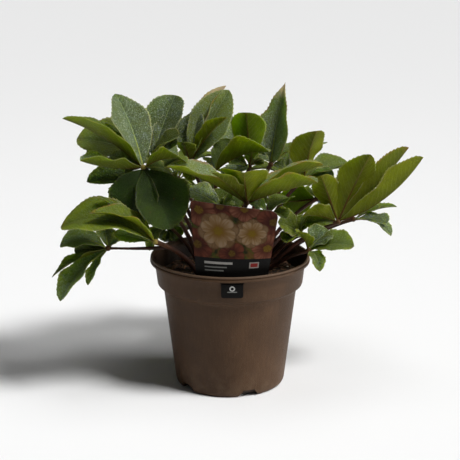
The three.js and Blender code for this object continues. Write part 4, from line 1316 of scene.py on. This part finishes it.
def build_card():
    ups = [1 - drop / CARD_TALL for drop in CARD_TOP_STEPS]
    ups += list(np.linspace(1 - CARD_EVEN_FROM / CARD_TALL, 0, CARD_ROWS))
    ups += list(np.linspace(0, -1, HEM_ROWS)[1:])
    steps = np.linspace(0, 1, CARD_COLUMNS)
    points, card_x, card_y = [], [], []
    for side in (-1, 1):
        for up in ups:
            drop = (1 - up) * CARD_TALL
            left = -1 + 2 * corner_inset(drop, CORNER_LEFT) / CARD_BROAD
            right = 1 - 2 * corner_inset(drop, CORNER_RIGHT) / CARD_BROAD
            for t in steps:
                across = left + (right - left) * t
                point = card_point(across, up)
                point[1] += side * CARD_THICKNESS / 2
                points.append(point)
                card_x.append((across + 1) / 2 * CARD_BROAD)
                card_y.append(up * CARD_TALL)
    return card_sheet(points, card_x, card_y, len(ups), len(steps))


def build_tongue():
    """The tongue comes out through the collar and hangs over it, its lower corners rounded."""
    width, drop = TONGUE_RIGHT - TONGUE_LEFT, TONGUE_TOP - TONGUE_BOTTOM
    bend_y, bend_z = TONGUE_BEND[-1]
    line = TONGUE_BEND + [(bend_y + TONGUE_LEAN * s, bend_z - (drop + bend_z) * s)
                          for s in TONGUE_STEPS]
    bend = len(TONGUE_BEND) - 1
    steps = np.linspace(0, 1, TONGUE_COLUMNS)
    points, card_x, card_y = [], [], []
    for shift in (0, CARD_THICKNESS):
        for k, (y, z) in enumerate(line):
            inset = corner_inset(drop + z, TONGUE_CORNER) if k > bend else 0
            for t in steps:
                x = TONGUE_LEFT + inset + (width - 2 * inset) * t
                points.append((x, y + (shift if k > 2 else 0),
                               TONGUE_TOP + z - (shift if k <= 3 else 0)))
                card_x.append(x - TONGUE_LEFT)
                card_y.append(z - TONGUE_PRINT_DROP)
    return card_sheet(points, card_x, card_y, len(line), len(steps))


# The print, in metres from the card's lower left corner. The tongue's print lies below it.
TONGUE_PRINT_DROP = 40   # mm
PRINT_FOOT = 0.021       # the picture ends here; plain black below
# blossoms: (x, y, radius, petals, turn, notch between petals, kind)
BLOSSOMS = [
    (0.032, 0.086, 0.0175, 5, 1.2, 0.24, "wine"), (0.058, 0.086, 0.0170, 5, 0.2, 0.24, "rose"),
    (0.009, 0.078, 0.0200, 5, 0.4, 0.22, "rose"), (0.091, 0.072, 0.0210, 5, 1.1, 0.22, "wine"),
    (0.046, 0.028, 0.0165, 5, 0.5, 0.22, "wine"), (0.088, 0.035, 0.0205, 5, 0.9, 0.22, "rose"),
    (0.005, 0.036, 0.0200, 5, 0.7, 0.22, "wine"),
    (0.068, 0.055, 0.0200, 6, 0.55, 0.34, "shade"),
    (0.068, 0.055, 0.0175, 6, 0.0, 0.34, "cream"),
    (0.030, 0.055, 0.0245, 6, 0.85, 0.34, "shade"),
    (0.030, 0.055, 0.0215, 6, 0.3, 0.34, "cream"),
]
# plain bars: (x from, x to, y from, y to, tone)
BARS = [
    (0.012, 0.047, 0.0135, 0.0165, "bar pale"), (0.012, 0.040, 0.0088, 0.0105, "bar grey"),
    (0.012, 0.036, 0.0046, 0.0063, "bar grey"), (0.068, 0.080, 0.0082, 0.0164, "block frame"),
    (0.0695, 0.0785, 0.0097, 0.0149, "block red"),
    (0.007, 0.018, -0.0512, -0.0500, "tongue line"),
]
RING_PLACE = (0.0125, -0.0465)
RING_INNER = 0.0018
RING_OUTER = 0.0032


def make_blossom():
    """One printed blossom: its mask, how far out a point lies, and the shade between petals."""
    w, given = open_shader_group("printed_blossom", {
        "Across": 0.0, "Up": 0.0, "Middle X": 0.0, "Middle Y": 0.0, "Radius": 0.015,
        "Petals": 8.0, "Turn": 0.0, "Notch": 0.4}, ["Mask", "Out", "Fold", "Streaks"])
    x, y = given.across - given.middle_x, given.up - given.middle_y
    far = w.length(x, y)
    angle = w.math("ARCTAN2", y, x) + given.turn
    lobe = abs(w.math("COSINE", angle * (given.petals * 0.5)))
    lobe = w.math("POWER", lobe, 0.55)
    edge = given.radius * (1.0 - given.notch + lobe * given.notch)
    streaks = w.noise(w.vector(angle * 5.0, far * 70.0, given.turn), 1.0, 2.0)
    return w.close(Mask=w.span(far / edge, 0.96, 1.02, 1.0, 0.0), Out=far / edge,
                   Fold=w.span(lobe, 0.15, 0.75, 1.0, 0.0),
                   Streaks=w.span(streaks, 0.42, 0.60))


def make_label_print():
    w, _, mottle = open_finish("label_print", 0.02, 0.0006)
    across, up, back = w.carried("card_x", "card_y", "back")
    soft = w.noise(w.vector(across, up, 0.0), 90.0, 2.0, 0.5, 0.6)
    leafy = w.math("SINE", (across * 0.8 + (up + soft * 0.01)) * 420.0)
    colour = w.coats(w.blend(w.span(soft, 0.35, 0.65), "print earth", "print leaf"),
                     (w.span(leafy, 0.0, 0.9) * 0.7, "print foliage"))
    blossom = make_blossom()
    for x, y, radius, petals, turn, notch, kind in BLOSSOMS:
        flower = w.use(blossom, {
            "Across": across, "Up": up, "Middle X": x, "Middle Y": y, "Radius": radius,
            "Petals": petals, "Turn": turn, "Notch": notch})
        out, streaks, throat = flower.out, flower.streaks, f"{kind} throat"
        petal = w.coats(
            w.blend(w.span(out, 0.15, 0.85), throat, f"{kind} petal"),
            (flower.fold * 0.6, throat), (streaks * 0.50, throat),
            (w.span(out, 0.20, 0.32, 1.0, 0.0) * (streaks * 0.55 + 0.45), f"{kind} eye"),
            (w.span(out, 0.88, 1.0, 0.0, 0.65), "petal edge"))
        colour = w.blend(flower.mask, colour, petal)
    colour = w.blend(up < PRINT_FOOT, colour, "print black")
    for x0, x1, y0, y1, tone in BARS:
        inside = (across > x0) * (across < x1) * ((up > y0) * (up < y1))
        colour = w.blend(inside, colour, tone)
    off = w.length(across - RING_PLACE[0], up - RING_PLACE[1])
    ring = (off > RING_INNER) * (off < RING_OUTER)
    colour = w.coats(colour, (ring * (up < 0.0), "ring pale"), (back, "card back"),
                     (mottle.grain * 0.02, "card grain"))
    return close_finish(w, colour, w.ramp(mottle.patches, 0.30, 0.42), mottle.height,
                        0.00006, Specular_IOR_Level=0.06)


def build_label():
    card = Gathering()
    card.add(*build_card())
    card.add(*build_tongue())
    mesh = card.mesh("picture_label")
    mesh.set_sharp_from_angle(angle=math.radians(SHARP_CARD_EDGE))
    mesh.materials.append(make_label_print())
    label = add_object("picture_label", mesh)
    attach(label, BODY)
    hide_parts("label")


# ---- camera, light and floor ----

AIM = (0.0, 0.0, 0.188)
ELEVATION = math.radians(15.3)
DISTANCE = 1.6
LENS = 105.2
SENSOR = 36
ROOM_LIGHT = 0.06
FLOOR_SPAN = 40000       # mm from the middle to each side


def stand_aimed(name, data, place, target):
    """Puts a camera or a lamp at a place, looking at its target."""
    obj = add_object(name, data)
    obj.location = place
    look = Vector(target) - obj.location
    obj.rotation_euler = look.to_track_quat("-Z", "Y").to_euler()
    return obj


def add_lamp(name, kind, place, target=(0, 0, 0), **settings):
    data = bpy.data.lights.new(name, kind)
    for key, value in settings.items():
        setattr(data, key, value)
    stand_aimed(name, data, place, target)


def set_studio():
    scene = bpy.context.scene
    data = bpy.data.cameras.new("camera")
    data.lens, data.sensor_width = LENS, SENSOR
    place = (0, -DISTANCE * math.cos(ELEVATION), AIM[2] + DISTANCE * math.sin(ELEVATION))
    scene.camera = stand_aimed("camera", data, place, AIM)
    scene.view_settings.view_transform = "Standard"
    add_lamp("key", "SUN", (0.48, -0.30, 0.82), energy=3.0, angle=math.radians(16))
    add_lamp("side", "SUN", (0.96, -0.14, 0.24), energy=2.3, angle=math.radians(26))
    add_lamp("overhead", "AREA", (0.1, 0.0, 1.9), (0, 0, 0.2), shape="DISK", size=1.0,
             energy=7)
    world = bpy.data.worlds.new("studio")
    world.use_nodes = True
    sky = world.node_tree.nodes["Background"].inputs
    sky["Color"].default_value = (1, 1, 1, 1)
    sky["Strength"].default_value = ROOM_LIGHT
    scene.world = world


def lay_floor():
    corners = [(x * FLOOR_SPAN, y * FLOOR_SPAN, 0)
               for x, y in ((-1, -1), (1, -1), (1, 1), (-1, 1))]
    floor = add_object("floor", mesh_from("floor", corners, [(0, 1, 2, 3)]))
    paper = bpy.data.materials.new("floor_paper")
    paper.use_nodes = True
    inlets = paper.node_tree.nodes["Principled BSDF"].inputs
    inlets["Base Color"].default_value = (*TONES["floor pale"], 1)
    inlets["Roughness"].default_value = 0.9
    floor.data.materials.append(paper)


# ---- the whole plant in its pot ----

set_studio()
lay_floor()
for leaf_name, leaf_facts in LEAVES.items():
    build_leaf(leaf_name, leaf_facts)
    if "foot" in leaf_facts:
        build_stalk(leaf_name, leaf_facts)
build_pot()
compost_bed = build_compost()
scatter = make_scatter()
lay_on(compost_bed, "bark_chips", scatter, BARK_CHIP, Number=16000.0, Seed=3)
lay_on(compost_bed, "pale_grit", scatter, PALE_GRIT, Length=2.6 * MM, Width=2.2 * MM,
       Thickness=1.7 * MM, Number=900.0, Seed=11)
lay_on(compost_bed, "root_fibres", make_fibres(), BARK_CHIP)
build_label()

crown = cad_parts["crown"]
crown.data.materials.clear()
crown.data.materials.append(BARK_CHIP)
